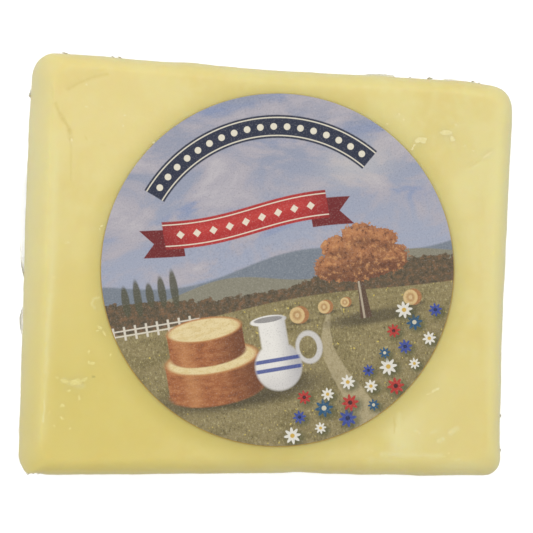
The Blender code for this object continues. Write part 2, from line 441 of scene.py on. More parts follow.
# %% The cheese
CHEESE_DEPTH = 0.22
BASE_CLEARANCE = 0.45
FILM_BASE_CLEARANCE = 0.28
BASE_SWELL = 0.12
TOP_WAVES = (0.09, 0.02)
CHEESE_WALL_WAVES = (0.28, 0.07, 0.04)
FOLD_SHARE = 0.6


def waves(wall_heights):
    """Return the waves of a surface, given how high broad, middle and fine ones are on its walls."""
    broad, middle, fine = wall_heights
    top = TOP_WAVES[0] * broad_noise + TOP_WAVES[1] * middle_noise
    wall = broad * broad_noise + middle * middle_noise + fine * fine_noise
    return upness * top + sideness * wall


def raised(relief, floor, part=(slice(None), slice(None))):
    """Return the outer grid, or a part of it, with a relief, and nowhere below a floor."""
    grid = outer[part] + outer_normals[part] * relief[:, :, None]
    grid[:, :, 2] = np.maximum(grid[:, :, 2], floor)
    return grid


base_relief = downness**2 * (FILM_BASE_CLEARANCE + BASE_SWELL * (1.0 + broad_noise))
cheese_relief = waves(CHEESE_WALL_WAVES) + FOLD_SHARE * fold_height - fold_groove - base_relief
cheese = mesh_from_grid("cheese_block", raised(cheese_relief - CHEESE_DEPTH, BASE_CLEARANCE))
print("cheese triangles", triangles(cheese))

# %% [markdown]
# Near its edges the cheese is painted paler, as painted light and reflection on the right,
# back and left shoulders, and deeper, as painted shade on the front one. A narrow painted
# highlight runs along the arris of the slanting left cut. How far the painted edges reach in
# from the edge, and how strong they are, is given for the front, right, back and left side in turn.

# %% Painted light and shade at the edges
EDGE_REACHES = (5.5, 6.0, 4.5, 8.5)
EDGE_LIGHT_PAINT = (0.0, 0.75, 0.20, 0.55)
EDGE_SHADE_PAINT = (0.36, 0.0, 0.0, 0.0)
EDGE_CURVE = 0.7
LEFT_LOSS = 0.65
LEFT_LOSS_FROM_Y = (-42.0, -8.0)
RIDGE_HIGHLIGHT_PAINT = 0.24
RIDGE_HIGHLIGHT_WIDTH = 1.7

# Painted light and reflection pale the rims, and painted shade deepens the front one.
near_edge = np.clip(1.0 - inward / along_ring(EDGE_REACHES), 0.0, 1.0) ** EDGE_CURVE
left_loss = along_ring((0.0, 0.0, 0.0, 1.0)) * np.interp(grid_y, LEFT_LOSS_FROM_Y, (LEFT_LOSS, 0.0))
rim_light_paint = near_edge * along_ring(EDGE_LIGHT_PAINT) * (1.0 - left_loss)
# A painted highlight along the arris of the slanting left cut.
ridge_highlight = hill(distance_to_line(outer, ARRIS_POINTS), RIDGE_HIGHLIGHT_WIDTH) * on_top_side
store_values(cheese, "painted_light", np.clip(rim_light_paint + RIDGE_HIGHLIGHT_PAINT * ridge_highlight, 0.0, 1.0))
store_values(cheese, "painted_shade", near_edge * along_ring(EDGE_SHADE_PAINT))
print("strongest paling", rim_light_paint.max().round(2))

# %% [markdown]
# The film lies a fifth of a millimetre off the cheese. It stands off further in a few places:
# along the folds, in a small bubble beside the label, in two tents on the left wall, and in
# the pleats that gather at each corner, where a flat sheet has to go round a box. A tent is
# given by how far it reaches, and how hazy its film is, at a few places along the wall.

# %% Loose spots of the film
Tent = namedtuple("Tent", "places reaches hazes")

tents = (
    Tent(
        places=(-15.9, -15.0, -14.0, -12.6, -11.4, -10.0, -9.0),
        reaches=(0.0, 0.36, 0.66, 0.86, 0.80, 0.46, 0.0),
        hazes=(0.0, 0.5, 1.0, 1.0, 1.0, 0.5, 0.0),
    ),
    Tent(
        places=(-2.9, -1.7, -0.3, 1.8, 6.0, 12.0, 17.0, 21.0),
        reaches=(0.0, 0.46, 0.80, 1.10, 1.34, 1.60, 1.40, 0.0),
        hazes=(0.4, 1.0, 0.9, 0.30, 0.03, 0.02, 0.02, 0.0),
    ),
)
TENT_HEIGHT = 9.5
TENT_HALF_HEIGHT = 2.5
BUBBLE_CENTRE = (-36.3, -8.8)
BUBBLE_HALF_SIZE = (0.85, 1.5)
BUBBLE_REACH = 0.28


def dome(rise):
    """Return the height of a half circle, which is 1 at no rise and 0 from a rise of 1."""
    return np.sqrt(np.clip(1.0 - rise**2, 0.0, 1.0))


def profile(values, places, heights):
    """Return heights that are given at a few places, and are 0 outside them."""
    return np.interp(values, places, heights, left=0.0, right=0.0)


leftness = np.clip(-outer_normals[:, :, 0], 0.0, 1.0)
tent_dome = dome((grid_z - TENT_HEIGHT) / TENT_HALF_HEIGHT) * leftness
tent_reach = sum(profile(grid_y, tent.places, tent.reaches) for tent in tents) * tent_dome
tent_haze = sum(profile(grid_y, tent.places, tent.hazes) for tent in tents) * tent_dome

bubble_gap = (outer[:, :, :2] - BUBBLE_CENTRE) / BUBBLE_HALF_SIZE
bubble = dome(np.linalg.norm(bubble_gap, axis=2)) * on_top_side
print("points in the bubble", int((bubble > 0).sum()))

# %% Pleats at the corners
PLEATS_AT_A_CORNER = 5
PLEAT_SPREAD = 11.0
PLEAT_JITTER = 1.5
PLEAT_WIDTH = 0.42
PLEAT_HEIGHT = 0.36
PLEAT_SHARES = (0.4, 1.0)
PLEAT_LEAN = 0.25
PLEAT_FAN = 0.02
PLEAT_TOPS = (12.0, 18.5)
PLEAT_BOTTOMS = (0.0, 3.0)

pleat_choice = np.random.default_rng(14)
steps_between = np.linalg.norm(np.roll(widest, -1, axis=0) - widest, axis=1)
distance_round = np.concatenate(([0.0], np.cumsum(steps_between)[:-1]))
round_length = steps_between.sum()
corner_starts = np.cumsum([0] + [CORNER_STEPS + side.steps for side in sides[:3]])
corner_middles = distance_round[corner_starts + CORNER_STEPS // 2]

pleat_height = np.zeros(outer.shape[:2])
for middle in corner_middles:
    for place in np.linspace(-PLEAT_SPREAD, PLEAT_SPREAD, PLEATS_AT_A_CORNER):
        start = middle + place + pleat_choice.uniform(-PLEAT_JITTER, PLEAT_JITTER)
        lean = pleat_choice.uniform(-PLEAT_LEAN, PLEAT_LEAN) - PLEAT_FAN * place
        top = pleat_choice.uniform(*PLEAT_TOPS)
        bottom = pleat_choice.uniform(*PLEAT_BOTTOMS)
        gap = distance_round[None, :] - start - lean * (grid_z - bottom)
        gap = (gap + round_length / 2.0) % round_length - round_length / 2.0
        rise = np.clip((grid_z - bottom) / (top - bottom), 0.0, 1.0)
        pleat = pleat_choice.uniform(*PLEAT_SHARES) * PLEAT_HEIGHT * np.sin(math.pi * rise)
        pleat_height = np.maximum(pleat_height, pleat * hill(gap, PLEAT_WIDTH))
print("pleats", PLEATS_AT_A_CORNER * len(corners))

# %% [markdown]
# Small upright pinches of film break the outline in places. Each is given by a place on the
# outline, how far the film stands off at a few offsets along the wall from there, counted
# anticlockwise, and the heights that it spans.

# %% Pinches of the film
Pinch = namedtuple("Pinch", "x y offsets reaches height half_height", defaults=[13.0, 4.0])

pinches = (
    Pinch(-51.3, 37.9, (-1.4, 0.3, 0.9, 1.1), (0.0, 0.32, 0.44, 0.0), 9.5, 3.0),
    Pinch(-43.7, 46.1, (-0.9, -0.4, 0.3, 0.6), (0.0, 0.16, 0.34, 0.0)),
    Pinch(-33.5, 45.3, (-0.4, -0.2, 0.6), (0.0, 0.36, 0.0), 12.0, 5.0),
    Pinch(-31.8, 45.2, (-0.7, 0.2, 0.4), (0.0, 0.38, 0.0), 14.0, 3.0),
    Pinch(25.6, 41.2, (-3.2, -2.9, 2.8, 3.1, 4.6), (0.0, 0.18, 0.18, 0.10, 0.0), 15.0, 2.6),
    Pinch(32.2, 40.8, (-0.4, 0.0, 0.4), (0.0, 0.24, 0.0)),
    Pinch(36.5, 40.7, (-0.8, -0.1, 0.5, 0.7), (0.0, 0.40, 0.42, 0.0), 14.0, 3.4),
    Pinch(40.6, 40.4, (-1.6, -1.3, 1.3, 1.6), (0.0, 0.14, 0.14, 0.0)),
    Pinch(45.7, 39.9, (-0.6, 0.1, 0.3), (0.0, 0.54, 0.0), 12.0, 4.6),
    Pinch(47.0, 39.4, (-0.4, 0.0, 0.4), (0.0, 0.30, 0.0), 13.0, 3.0),
    Pinch(51.9, -33.2, (-0.5, 0.0, 0.5), (0.0, 0.42, 0.0)),
    Pinch(51.9, -40.6, (-0.5, 0.0, 0.5), (0.0, 0.50, 0.0), 12.0, 4.0),
    Pinch(-51.8, -45.5, (-0.5, 0.0, 0.5), (0.0, 0.22, 0.0)),
    Pinch(-50.9, -45.7, (-0.4, 0.0, 0.4), (0.0, 0.24, 0.0), 11.0, 3.0),
    Pinch(-49.8, -45.8, (-0.4, 0.0, 0.4), (0.0, 0.20, 0.0)),
)
PINCH_FULL_HAZE = 0.3

pinch_reach = np.zeros(outer.shape[:2])
for pinch in pinches:
    offset = distance_round - distance_round[np.argmin(plan_gap(pinch.x, pinch.y))]
    stand_off = profile(offset, pinch.offsets, pinch.reaches)
    rise = (grid_z - pinch.height) / pinch.half_height
    pinch_reach = np.maximum(pinch_reach, stand_off * dome(rise))
pinch_haze = np.clip(pinch_reach / PINCH_FULL_HAZE, 0.0, 1.0)
print("pinches", len(pinches))

# %% The film
FILM_WALL_WAVES = (0.20, 0.07, 0.09)
PLEAT_HAZE = 0.26
BUBBLE_HAZE = 0.09

stand_off = fold_height + tent_reach + BUBBLE_REACH * bubble + pleat_height + pinch_reach
film_relief = waves(FILM_WALL_WAVES) + stand_off - base_relief
film = mesh_from_grid("clear_film", raised(film_relief, FILM_BASE_CLEARANCE))
haze = tent_haze + pinch_haze + PLEAT_HAZE * pleat_height / PLEAT_HEIGHT + BUBBLE_HAZE * bubble
store_values(film, "haze", np.clip(haze, 0.0, 1.0))
print("film triangles", triangles(film))

# %% [markdown]
# A printed label is a thin disc of glossy paper, stuck to the film. Here it is rings of points
# laid on the crown of the top face, two faces and a rim, with its edge lifted by a hair here
# and there as glued paper does.

# %% The label's disc
LABEL_RADIUS = 38.1
LABEL_CENTRE = (2.75, -1.15)
LABEL_STEPS = 240
LABEL_LIFT = 0.14
LABEL_EDGE_LIFT = 0.05
PAPER_THICKNESS = 0.12
SHARP_ANGLE = math.radians(35.0)
LABEL_SHARES = (0.1, 0.25, 0.4, 0.55, 0.7, 0.82, 0.91, 0.96, 0.985, 1.0)

label_angles = 2.0 * math.pi * np.arange(LABEL_STEPS) / LABEL_STEPS


def label_ring(share, lift):
    """Return a ring of the label, in millimetres."""
    x = LABEL_CENTRE[0] + LABEL_RADIUS * share * np.cos(label_angles)
    y = LABEL_CENTRE[1] + LABEL_RADIUS * share * np.sin(label_angles)
    edge_lift = LABEL_EDGE_LIFT * share**8 * (1.0 + np.sin(3.0 * label_angles + 0.7))
    return np.column_stack((x, y, TOP_EDGE_HEIGHT + crown(x, y) + lift + edge_lift))


under_rings = [label_ring(share, LABEL_LIFT) for share in LABEL_SHARES]
face_rings = [label_ring(share, LABEL_LIFT + PAPER_THICKNESS) for share in reversed(LABEL_SHARES)]
label = mesh_from_grid("printed_label", np.array(under_rings + face_rings))
label.data.set_sharp_from_angle(angle=SHARP_ANGLE)
print("label triangles", triangles(label))

# %% [markdown]
# The seam of the film is folded down the left wall and under the block, which is why loose
# film shows past that side. It is a strip of the outer grid, laid a little further out on the
# wall and flat under the base, and Solidify gives it the thickness of two layers of film.

# %% The folded seam
SEAM_TOP_RING = len(BASE_INSETS) + BASE_EDGE_STEPS + WALL_STEPS // 2
SEAM_BOTTOM_RING = 5
SEAM_END_MARGIN = 15
SEAM_THICKNESS = 0.1
SEAM_STANDOFF = 0.16
SEAM_RIPPLE = 0.10
SEAM_UNDER_HEIGHT = 0.14

left_start = corner_starts[3] + CORNER_STEPS
left_end = left_start + sides[3].steps
seam_columns = np.arange(left_start + SEAM_END_MARGIN, left_end - SEAM_END_MARGIN)
seam_part = (slice(SEAM_BOTTOM_RING, SEAM_TOP_RING + 1), seam_columns)
ripple = SEAM_RIPPLE * noise_on(outer[seam_part], *SEAM_NOISE) * leftness[seam_part]
seam_relief = np.maximum(film_relief[seam_part], 0.0) + SEAM_STANDOFF + ripple
seam_grid = raised(seam_relief, SEAM_UNDER_HEIGHT, seam_part)

count = len(seam_columns)
seam_faces = []
for row in range(len(seam_grid) - 1):
    for number in range(count - 1):
        low = row * count + number
        seam_faces.append((low, low + 1, low + count + 1, low + count))
seam = add_mesh("folded_seam", seam_grid.reshape(-1, 3), seam_faces)
seam_wall = seam.modifiers.new("Two layers of film", "SOLIDIFY")
seam_wall.thickness = SEAM_THICKNESS * MM
seam_wall.offset = 0.0
print("seam faces", len(seam.data.polygons))

# %% [markdown]
# ## Finishes
#
# A material is a small tree of nodes. Each output of a node is held here as a value, and a sum
# or product of values adds the node that works it out. Colours are given as the eye reads them
# on a screen, from 0 to 255, and turned into the linear values that light adds up in.

# %% Values and nodes
def fill(node, inputs):
    """Fill a node's inputs with constants, or link them to values."""
    for name, value in inputs.items():
        if isinstance(value, Value):
            node.id_data.links.new(value.socket, node.inputs[name])
        else:
            node.inputs[name].default_value = value


def add_node(tree, kind, inputs=None, output=0, **settings):
    """Add a node, set its own settings, fill its inputs, and return one of its outputs."""
    node = tree.nodes.new(kind)
    for name, value in settings.items():
        setattr(node, name, value)
    fill(node, inputs or {})
    return Value(node.outputs[output])


def maths(operation, *values):
    """Return the result of a Math node."""
    tree = next(value.tree for value in values if isinstance(value, Value))
    return add_node(tree, "ShaderNodeMath", dict(enumerate(values)), operation=operation)


class Value:
    """An output of a node, which can be added, subtracted, multiplied and divided."""

    def __init__(self, socket):
        self.socket = socket
        self.tree = socket.id_data

    def __add__(self, other):
        return maths("ADD", self, other)

    def __sub__(self, other):
        return maths("SUBTRACT", self, other)

    def __rsub__(self, other):
        return maths("SUBTRACT", other, self)

    def __mul__(self, other):
        return maths("MULTIPLY", self, other)

    def __truediv__(self, other):
        return maths("DIVIDE", self, other)

    def __abs__(self):
        return maths("ABSOLUTE", self)


def outputs_of(value):
    """Return all outputs of the node that a value comes from."""
    return [Value(socket) for socket in value.socket.node.outputs]


def parts_of(vector):
    """Return the three parts of a vector."""
    return outputs_of(add_node(vector.tree, "ShaderNodeSeparateXYZ", {0: vector}))


def scaled(value, factor, start):
    """Return a value times a factor, on top of a start."""
    return maths("MULTIPLY_ADD", value, factor, start)


def dot(first, second):
    """Return the sum of the products of two pairs of values."""
    return scaled(first[1], second[1], first[0] * second[0])


def length(pair):
    """Return the length of a pair of values."""
    return maths("SQRT", dot(pair, pair))


# %% Colours, ramps and noise
def linear(colour):
    """Return a screen colour, given from 0 to 255, as a linear colour with full alpha."""
    shares = np.array(colour) / 255.0
    curve = np.where(shares <= 0.04045, shares / 12.92, ((shares + 0.055) / 1.055) ** 2.4)
    return (*curve.tolist(), 1.0)


def mix_colour(mask, *colours):
    """Return the first colour with the second mixed in by a mask."""
    first, second = [colour if isinstance(colour, Value) else linear(colour) for colour in colours]
    return add_node(mask.tree, "ShaderNodeMix", {0: mask, 6: first, 7: second}, 2, data_type="RGBA")


def ramp(value, low, high, to_low=0.0, to_high=1.0):
    """Return a value eased smoothly from one range to another."""
    inputs = {"Value": value, "From Min": low, "From Max": high, "To Min": to_low, "To Max": to_high}
    return add_node(value.tree, "ShaderNodeMapRange", inputs, interpolation_type="SMOOTHSTEP")


def either(masks):
    """Return a mask of what lies in any of the masks."""
    joined = masks[0]
    for mask in masks[1:]:
        joined = maths("MAXIMUM", joined, mask)
    return joined


def noise_value(vector, scale, detail=2.0, rough=0.5, distortion=0.0):
    """Return a noise texture's value, about 0.5 on average."""
    inputs = {"Scale": scale, "Detail": detail, "Roughness": rough, "Distortion": distortion}
    return add_node(vector.tree, "ShaderNodeTexNoise", {"Vector": vector, **inputs})


def bump(height, strength, distance):
    """Return normals that follow a height, whose full swing is a distance in metres."""
    inputs = {"Height": height, "Strength": strength, "Distance": distance}
    return add_node(height.tree, "ShaderNodeBump", inputs)


def new_material(name):
    """Return a new material, its tree and its Principled shader."""
    material = bpy.data.materials.new(name)
    material.use_nodes = True
    return material, material.node_tree, material.node_tree.nodes["Principled BSDF"]


def in_millimetres(tree, centre=(0.0, 0.0), turn=0.0):
    """Return Object coordinates in millimetres, centred and turned in plan."""
    inputs = {
        "Vector": add_node(tree, "ShaderNodeTexCoord", output="Object"),
        "Location": (centre[0] * MM, centre[1] * MM, 0.0),
        "Rotation": (0.0, 0.0, turn),
        "Scale": (MM, MM, MM),
    }
    return add_node(tree, "ShaderNodeMapping", inputs, vector_type="TEXTURE")


print("a mid grey is", round(linear((128, 128, 128))[0], 3))

# %% [markdown]
# Soft ellipses make most of what is painted here: pale smears under the film, and on the label
# the clumps of the oak, the bales, the wheels and the jug. Both materials use them, so the
# ellipse is a node group. It moves, turns and scales a point into the ellipse's own frame,
# where its length tells whether it is inside. Other marks are lines: the painted shade of a
# crease, or the painted highlight along the edge where two cuts meet. Their group measures how
# far a point lies from a line.

# %% The soft ellipse and the soft line
ELLIPSE_INPUTS = "Across|Up|Centre Across|Centre Up|Half Width|Half Height|Turn|Softness".split("|")
LINE_INPUTS = "Across|Up|Start Across|Start Up|End Across|End Up|Half Width|Softness".split("|")


def new_tree(kind, name, inputs, outputs):
    """Return a new tree of nodes, its inputs as values by name, and its end."""
    tree = bpy.data.node_groups.new(name, kind)
    for in_out, sockets in (("INPUT", inputs), ("OUTPUT", outputs)):
        for socket_name, kind_name in sockets.items():
            socket_type = "NodeSocket" + kind_name
            tree.interface.new_socket(socket_name, in_out=in_out, socket_type=socket_type)
    start = tree.nodes.new("NodeGroupInput").outputs
    values = {socket_name: Value(start[socket_name]) for socket_name in inputs}
    return tree, values, tree.nodes.new("NodeGroupOutput")


def new_group(name, inputs, outputs):
    """Return a new group of shader nodes, its inputs as values, and its end."""
    floats = [dict.fromkeys(names, "Float") for names in (inputs, outputs)]
    group, values, end = new_tree("ShaderNodeTree", name, *floats)
    return group, list(values.values()), end


def make_ellipse_group():
    """Build a group that masks a soft ellipse, with its size and place as inputs."""
    group, values, end = new_group("Soft Ellipse", ELLIPSE_INPUTS, ["Mask"])
    x, y, centre_x, centre_y, half_width, half_height, turn, softness = values
    gap = (x - centre_x, y - centre_y)
    cosine = maths("COSINE", turn)
    sine = maths("SINE", turn)
    turned_x = dot(gap, (cosine, sine))
    turned_y = gap[1] * cosine - gap[0] * sine
    share = length((turned_x / half_width, turned_y / half_height))
    fill(end, {"Mask": ramp(share, softness + 1.0, 1.0 - softness)})
    return group


def make_line_group():
    """Build a group that masks a soft line between two places."""
    group, values, end = new_group("Soft Line", LINE_INPUTS, ["Mask"])
    x, y, start_x, start_y, end_x, end_y, half_width, softness = values
    run = (end_x - start_x, end_y - start_y)
    gap = (x - start_x, y - start_y)
    share = dot(gap, run) / dot(run, run)
    share = maths("MINIMUM", maths("MAXIMUM", share, 0.0), 1.0)
    distance = length((gap[0] - share * run[0], gap[1] - share * run[1]))
    fill(end, {"Mask": ramp(distance, half_width + softness, half_width - softness)})
    return group


ellipse_group = make_ellipse_group()
line_group = make_line_group()


def use_group(group, *values):
    """Add a group to the tree of its first value, and return its first output."""
    return add_node(values[0].tree, "ShaderNodeGroup", dict(enumerate(values)), node_tree=group)


def ellipse(plan, centre, half_size, turn=0.0, softness=0.1):
    """Return the mask of a soft ellipse on a plan, which is a pair of values."""
    return use_group(ellipse_group, *plan, *centre, *half_size, turn, softness)


def line(plan, start, end, half_width, softness):
    """Return the mask of a soft line on a plan, which is a pair of values."""
    return use_group(line_group, *plan, *start, *end, half_width, softness)


print("inputs of the groups", len(ELLIPSE_INPUTS), len(LINE_INPUTS))

# %% [markdown]
# Cheddar is waxy: light goes in and comes out a few millimetres away, so its shoulders glow and
# its colour is deeper where the label keeps light out, which is also painted here as painted
# shade. Its yellow drifts between lemon and ochre in patches of a few centimetres. Under tight
# film it has a soft gloss. The film's creases show as darker lines of painted shade, and the
# edge of the slanting cut as a pale line of painted highlight. A patch is its centre, half its
# length and height, its colour and its strength. A mark is a line of points, half its width,
# how soft its sides are, its colour and its strength.

# %% Colours of the cheese
LEMON = (232, 219, 146)
OCHRE = (229, 212, 133)
WARM = (238, 221, 150)
DEEPER_YELLOW = (222, 203, 100)
SHADED_YELLOW = (200, 180, 78)
DARK = (212, 190, 92)
PALE = (236, 228, 168)
OLIVE_SHADE_AND_SPECK = (192, 176, 92)
ORANGE = (204, 160, 58)

# The warm patch at the back left and the large deeper patch at the front left are partly the cheese's
# own tone and partly painted light, lighter at the back left and falling off towards the front left.
patches = (
    (-36.0, 33.0, 17.0, 13.0, WARM, 0.6), (-42.0, -2.0, 7.0, 16.0, WARM, 0.35),
    (47.0, 13.0, 8.0, 17.0, PALE, 0.40), (-40.0, -31.0, 34.0, 27.0, DEEPER_YELLOW, 0.65),
    (43.0, -33.0, 12.0, 11.0, OCHRE, 0.7), (33.5, -29.5, 6.5, 9.0, PALE, 0.30),
    (28.5, -36.5, 4.2, 5.5, PALE, 0.50), (28.4, -39.0, 2.6, 2.6, PALE, 0.45),
    (25.4, -38.8, 2.0, 2.2, DEEPER_YELLOW, 0.45), (43.5, -44.2, 6.0, 1.4, PALE, 0.85),
)
# The dark lines along the creases and folds are painted shade in their grooves, and the short dark dots
# are specks. The pale lines along the left arris, beside the creases and round the bubble are painted
# highlights, and the other pale lines are smears.
marks = (
    (((-42.6, 38.0), (-39.4, 39.7), (-37.4, 40.5), (-34.1, 41.2)), 0.20, 0.50, DARK, 0.50),
    (((-45.3, 34.8), (-44.3, 32.4), (-43.2, 30.4), (-42.2, 28.7)), 0.24, 0.50, DARK, 0.55),
    (((-42.4, 29.2), (-41.9, 27.6)), 0.4, 0.6, DARK, 0.35),
    (((-42.0, 27.3), (-41.9, 18.2)), 0.15, 0.35, DARK, 0.30),
    (((-47.0, 36.9), (-45.6, 35.2)), 0.1, 0.3, PALE, 0.45),
    (((-43.0, 31.9), (-42.2, 30.2)), 0.1, 0.3, PALE, 0.35),
    (((44.4, 21.1), (46.8, 22.6)), 0.15, 0.35, DARK, 0.35),
    (((-38.9, 27.7), (-38.4, 27.1)), 0.1, 0.2, DARK, 0.45),
    (((-35.3, 26.1), (-34.1, 25.9)), 0.1, 0.3, DARK, 0.35),
    (((-33.2, 29.3), (-32.9, 28.6)), 0.1, 0.2, DARK, 0.30),
    (((-47.7, 30.4), (-47.5, 30.2)), 0.1, 0.2, DARK, 0.45),
    (((-37.1, -24.2), (-36.8, -24.2)), 0.22, 0.2, OLIVE_SHADE_AND_SPECK, 1.0),
    (((-36.0, -7.2), (-37.0, -7.4), (-37.4, -8.4), (-36.8, -9.5)), 0.15, 0.40, PALE, 0.75),
    (((-44.9, 24.5), (-45.5, 18.2), (-45.9, 4.2), (-46.2, -5.0)), 0.35, 0.75, PALE, 0.45),
    (((-46.3, -6.4), (-46.9, -12.2), (-47.2, -17.4), (-47.3, -23.5)), 0.4, 0.60, PALE, 0.60),
    (((-47.3, -24.5), (-47.6, -29.0)), 0.2, 0.5, PALE, 0.40),
    (((-47.6, -29.3), (-47.9, -34.0)), 0.16, 0.28, PALE, 1.0),
    (((25.5, -41.1), (38.0, -41.5)), 0.5, 0.6, PALE, 0.55),
    (((-43.6, -25.2), (-41.5, -25.9), (-39.4, -26.4)), 0.5, 0.5, PALE, 0.40),
    (((28.0, -33.2), (28.1, -36.4)), 0.1, 0.3, DARK, 0.60),
    (((29.1, -32.6), (29.0, -36.2)), 0.5, 0.5, PALE, 0.50),
    (((40.4, -36.3), (41.7, -35.5)), 0.55, 0.4, PALE, 0.75),
    (((37.6, -38.3), (38.7, -37.8)), 0.40, 0.3, PALE, 0.80),
    (((36.2, -36.4), (37.1, -36.0)), 0.30, 0.4, PALE, 0.55),
    (((32.5, -36.1), (33.5, -36.5)), 0.28, 0.2, PALE, 0.85),
    (((41.5, -42.4), (42.1, -42.2)), 0.15, 0.3, PALE, 0.70),
)
print("patches", len(patches), "marks", len(marks))

# %% The cheese material
LABEL_SHADE_WIDTH = 2.6
LABEL_SHADE_SHIFT = (0.2, -0.5)
LABEL_SHADE_BACK_TO_FRONT = (-16.0, -34.0, 0.34, 0.52)
GLOW_WIDTH = 0.28
GLOW_SOFTNESS = 0.1
GLOW_BACK_TO_FRONT = (24.0, -14.0, 0.10, 0.75)
PATCH_SOFTNESS = 0.9
RAGGED_REACH = 1.1
WOBBLE_REACH = 0.9
TOP_FADE = (20.0, 22.0)

cheese_material, tree, shader = new_material("Waxy Cheddar")
place = in_millimetres(tree)
*plan, height = parts_of(place)
on_top = ramp(height, *TOP_FADE)
drift = noise_value(place, 0.09, detail=3.0, rough=0.55)
mottle = noise_value(place, 0.55, detail=3.0)
ragged = noise_value(place, 1.3, detail=4.0, rough=0.65)
frost = noise_value(place, 3.5, detail=3.0, rough=0.7)
yellow = mix_colour(ramp(drift, 0.35, 0.65), LEMON, OCHRE)
yellow = mix_colour(ramp(mottle, 0.45, 0.75, 0.0, 0.22), yellow, PALE)

bend = scaled(ragged, RAGGED_REACH, -RAGGED_REACH / 2.0)
bent_plan = [value + bend for value in plan]
frosted = ramp(frost, 0.25, 0.60, 0.35, 1.0)
for x, y, half_length, half_height, colour, strength in patches:
    mask = ellipse(bent_plan, (x, y), (half_length, half_height), softness=PATCH_SOFTNESS)
    if colour == PALE:
        mask = mask * frosted
    yellow = mix_colour(mask * strength, yellow, colour)

# Painted shade: a deeper ring round the label, stronger towards the front, where the label keeps light
# out of the cheese.
label_shade_reach = LABEL_RADIUS + LABEL_SHADE_WIDTH
label_shade_centre = (LABEL_CENTRE[0] + LABEL_SHADE_SHIFT[0], LABEL_CENTRE[1] + LABEL_SHADE_SHIFT[1])
label_shade = ellipse(plan, label_shade_centre, (label_shade_reach, label_shade_reach), softness=LABEL_SHADE_WIDTH / label_shade_reach)
label_shade = label_shade * (on_top * ramp(plan[1], *LABEL_SHADE_BACK_TO_FRONT))
yellow = mix_colour(label_shade, yellow, SHADED_YELLOW)
# A thin orange ring of painted glow lies just outside the label's edge, stronger towards the front.
glow_reach = LABEL_RADIUS + GLOW_WIDTH
glow = ellipse(plan, LABEL_CENTRE, (glow_reach, glow_reach), softness=GLOW_SOFTNESS / glow_reach)
glow = glow * ramp(plan[1], *GLOW_BACK_TO_FRONT)
yellow = mix_colour(glow * on_top, yellow, ORANGE)

wobble = scaled(mottle, WOBBLE_REACH, -WOBBLE_REACH / 2.0)
wobbled_plan = [value + wobble for value in plan]
uneven = ramp(ragged, 0.30, 0.62, 0.45, 1.0)
for points, half_width, softness, colour, strength in marks:
    runs = zip(points, points[1:])
    mask = either([line(wobbled_plan, *ends, half_width, softness) for ends in runs])
    yellow = mix_colour(mask * (uneven * strength) * on_top, yellow, colour)
# Painted light and reflection at the rims and along the left arris, and painted shade at the front rim,
# carried by the mesh.
for name, colour in (("painted_light", PALE), ("painted_shade", OLIVE_SHADE_AND_SPECK)):
    share = add_node(tree, "ShaderNodeAttribute", output="Fac", attribute_name=name)
    yellow = mix_colour(share, yellow, colour)

fill(shader, {
    "Base Color": yellow,
    "Roughness": 0.42,
    "IOR": 1.45,
    "Specular IOR Level": 0.2,
    "Subsurface Weight": 0.6,
    "Subsurface Radius": (1.0, 0.75, 0.25),
    "Subsurface Scale": 0.004,
    "Coat Weight": 0.5,
    "Coat Roughness": 0.22,
    "Normal": bump(noise_value(place, 0.8, detail=3.0), 0.25, 0.0002),
})
cheese.data.materials.append(cheese_material)
print("nodes in the cheese material", len(tree.nodes))

# %% [markdown]
# Crumbs and thin flakes of cheese are caught under the film: those that the photograph shows,
# and a few more on the underside. Each is a squashed ball. Geometry Nodes put one on every point
# of a cloud, with the size and turn that the point carries, and then noise pulls each outline
# out of shape, so that no two are alike. The instances are made real and given their material.

# %% Places of the flakes
FLAKE_HALF_HEIGHT = 0.05
Flake = namedtuple("Flake", "x y half_length half_width turn")

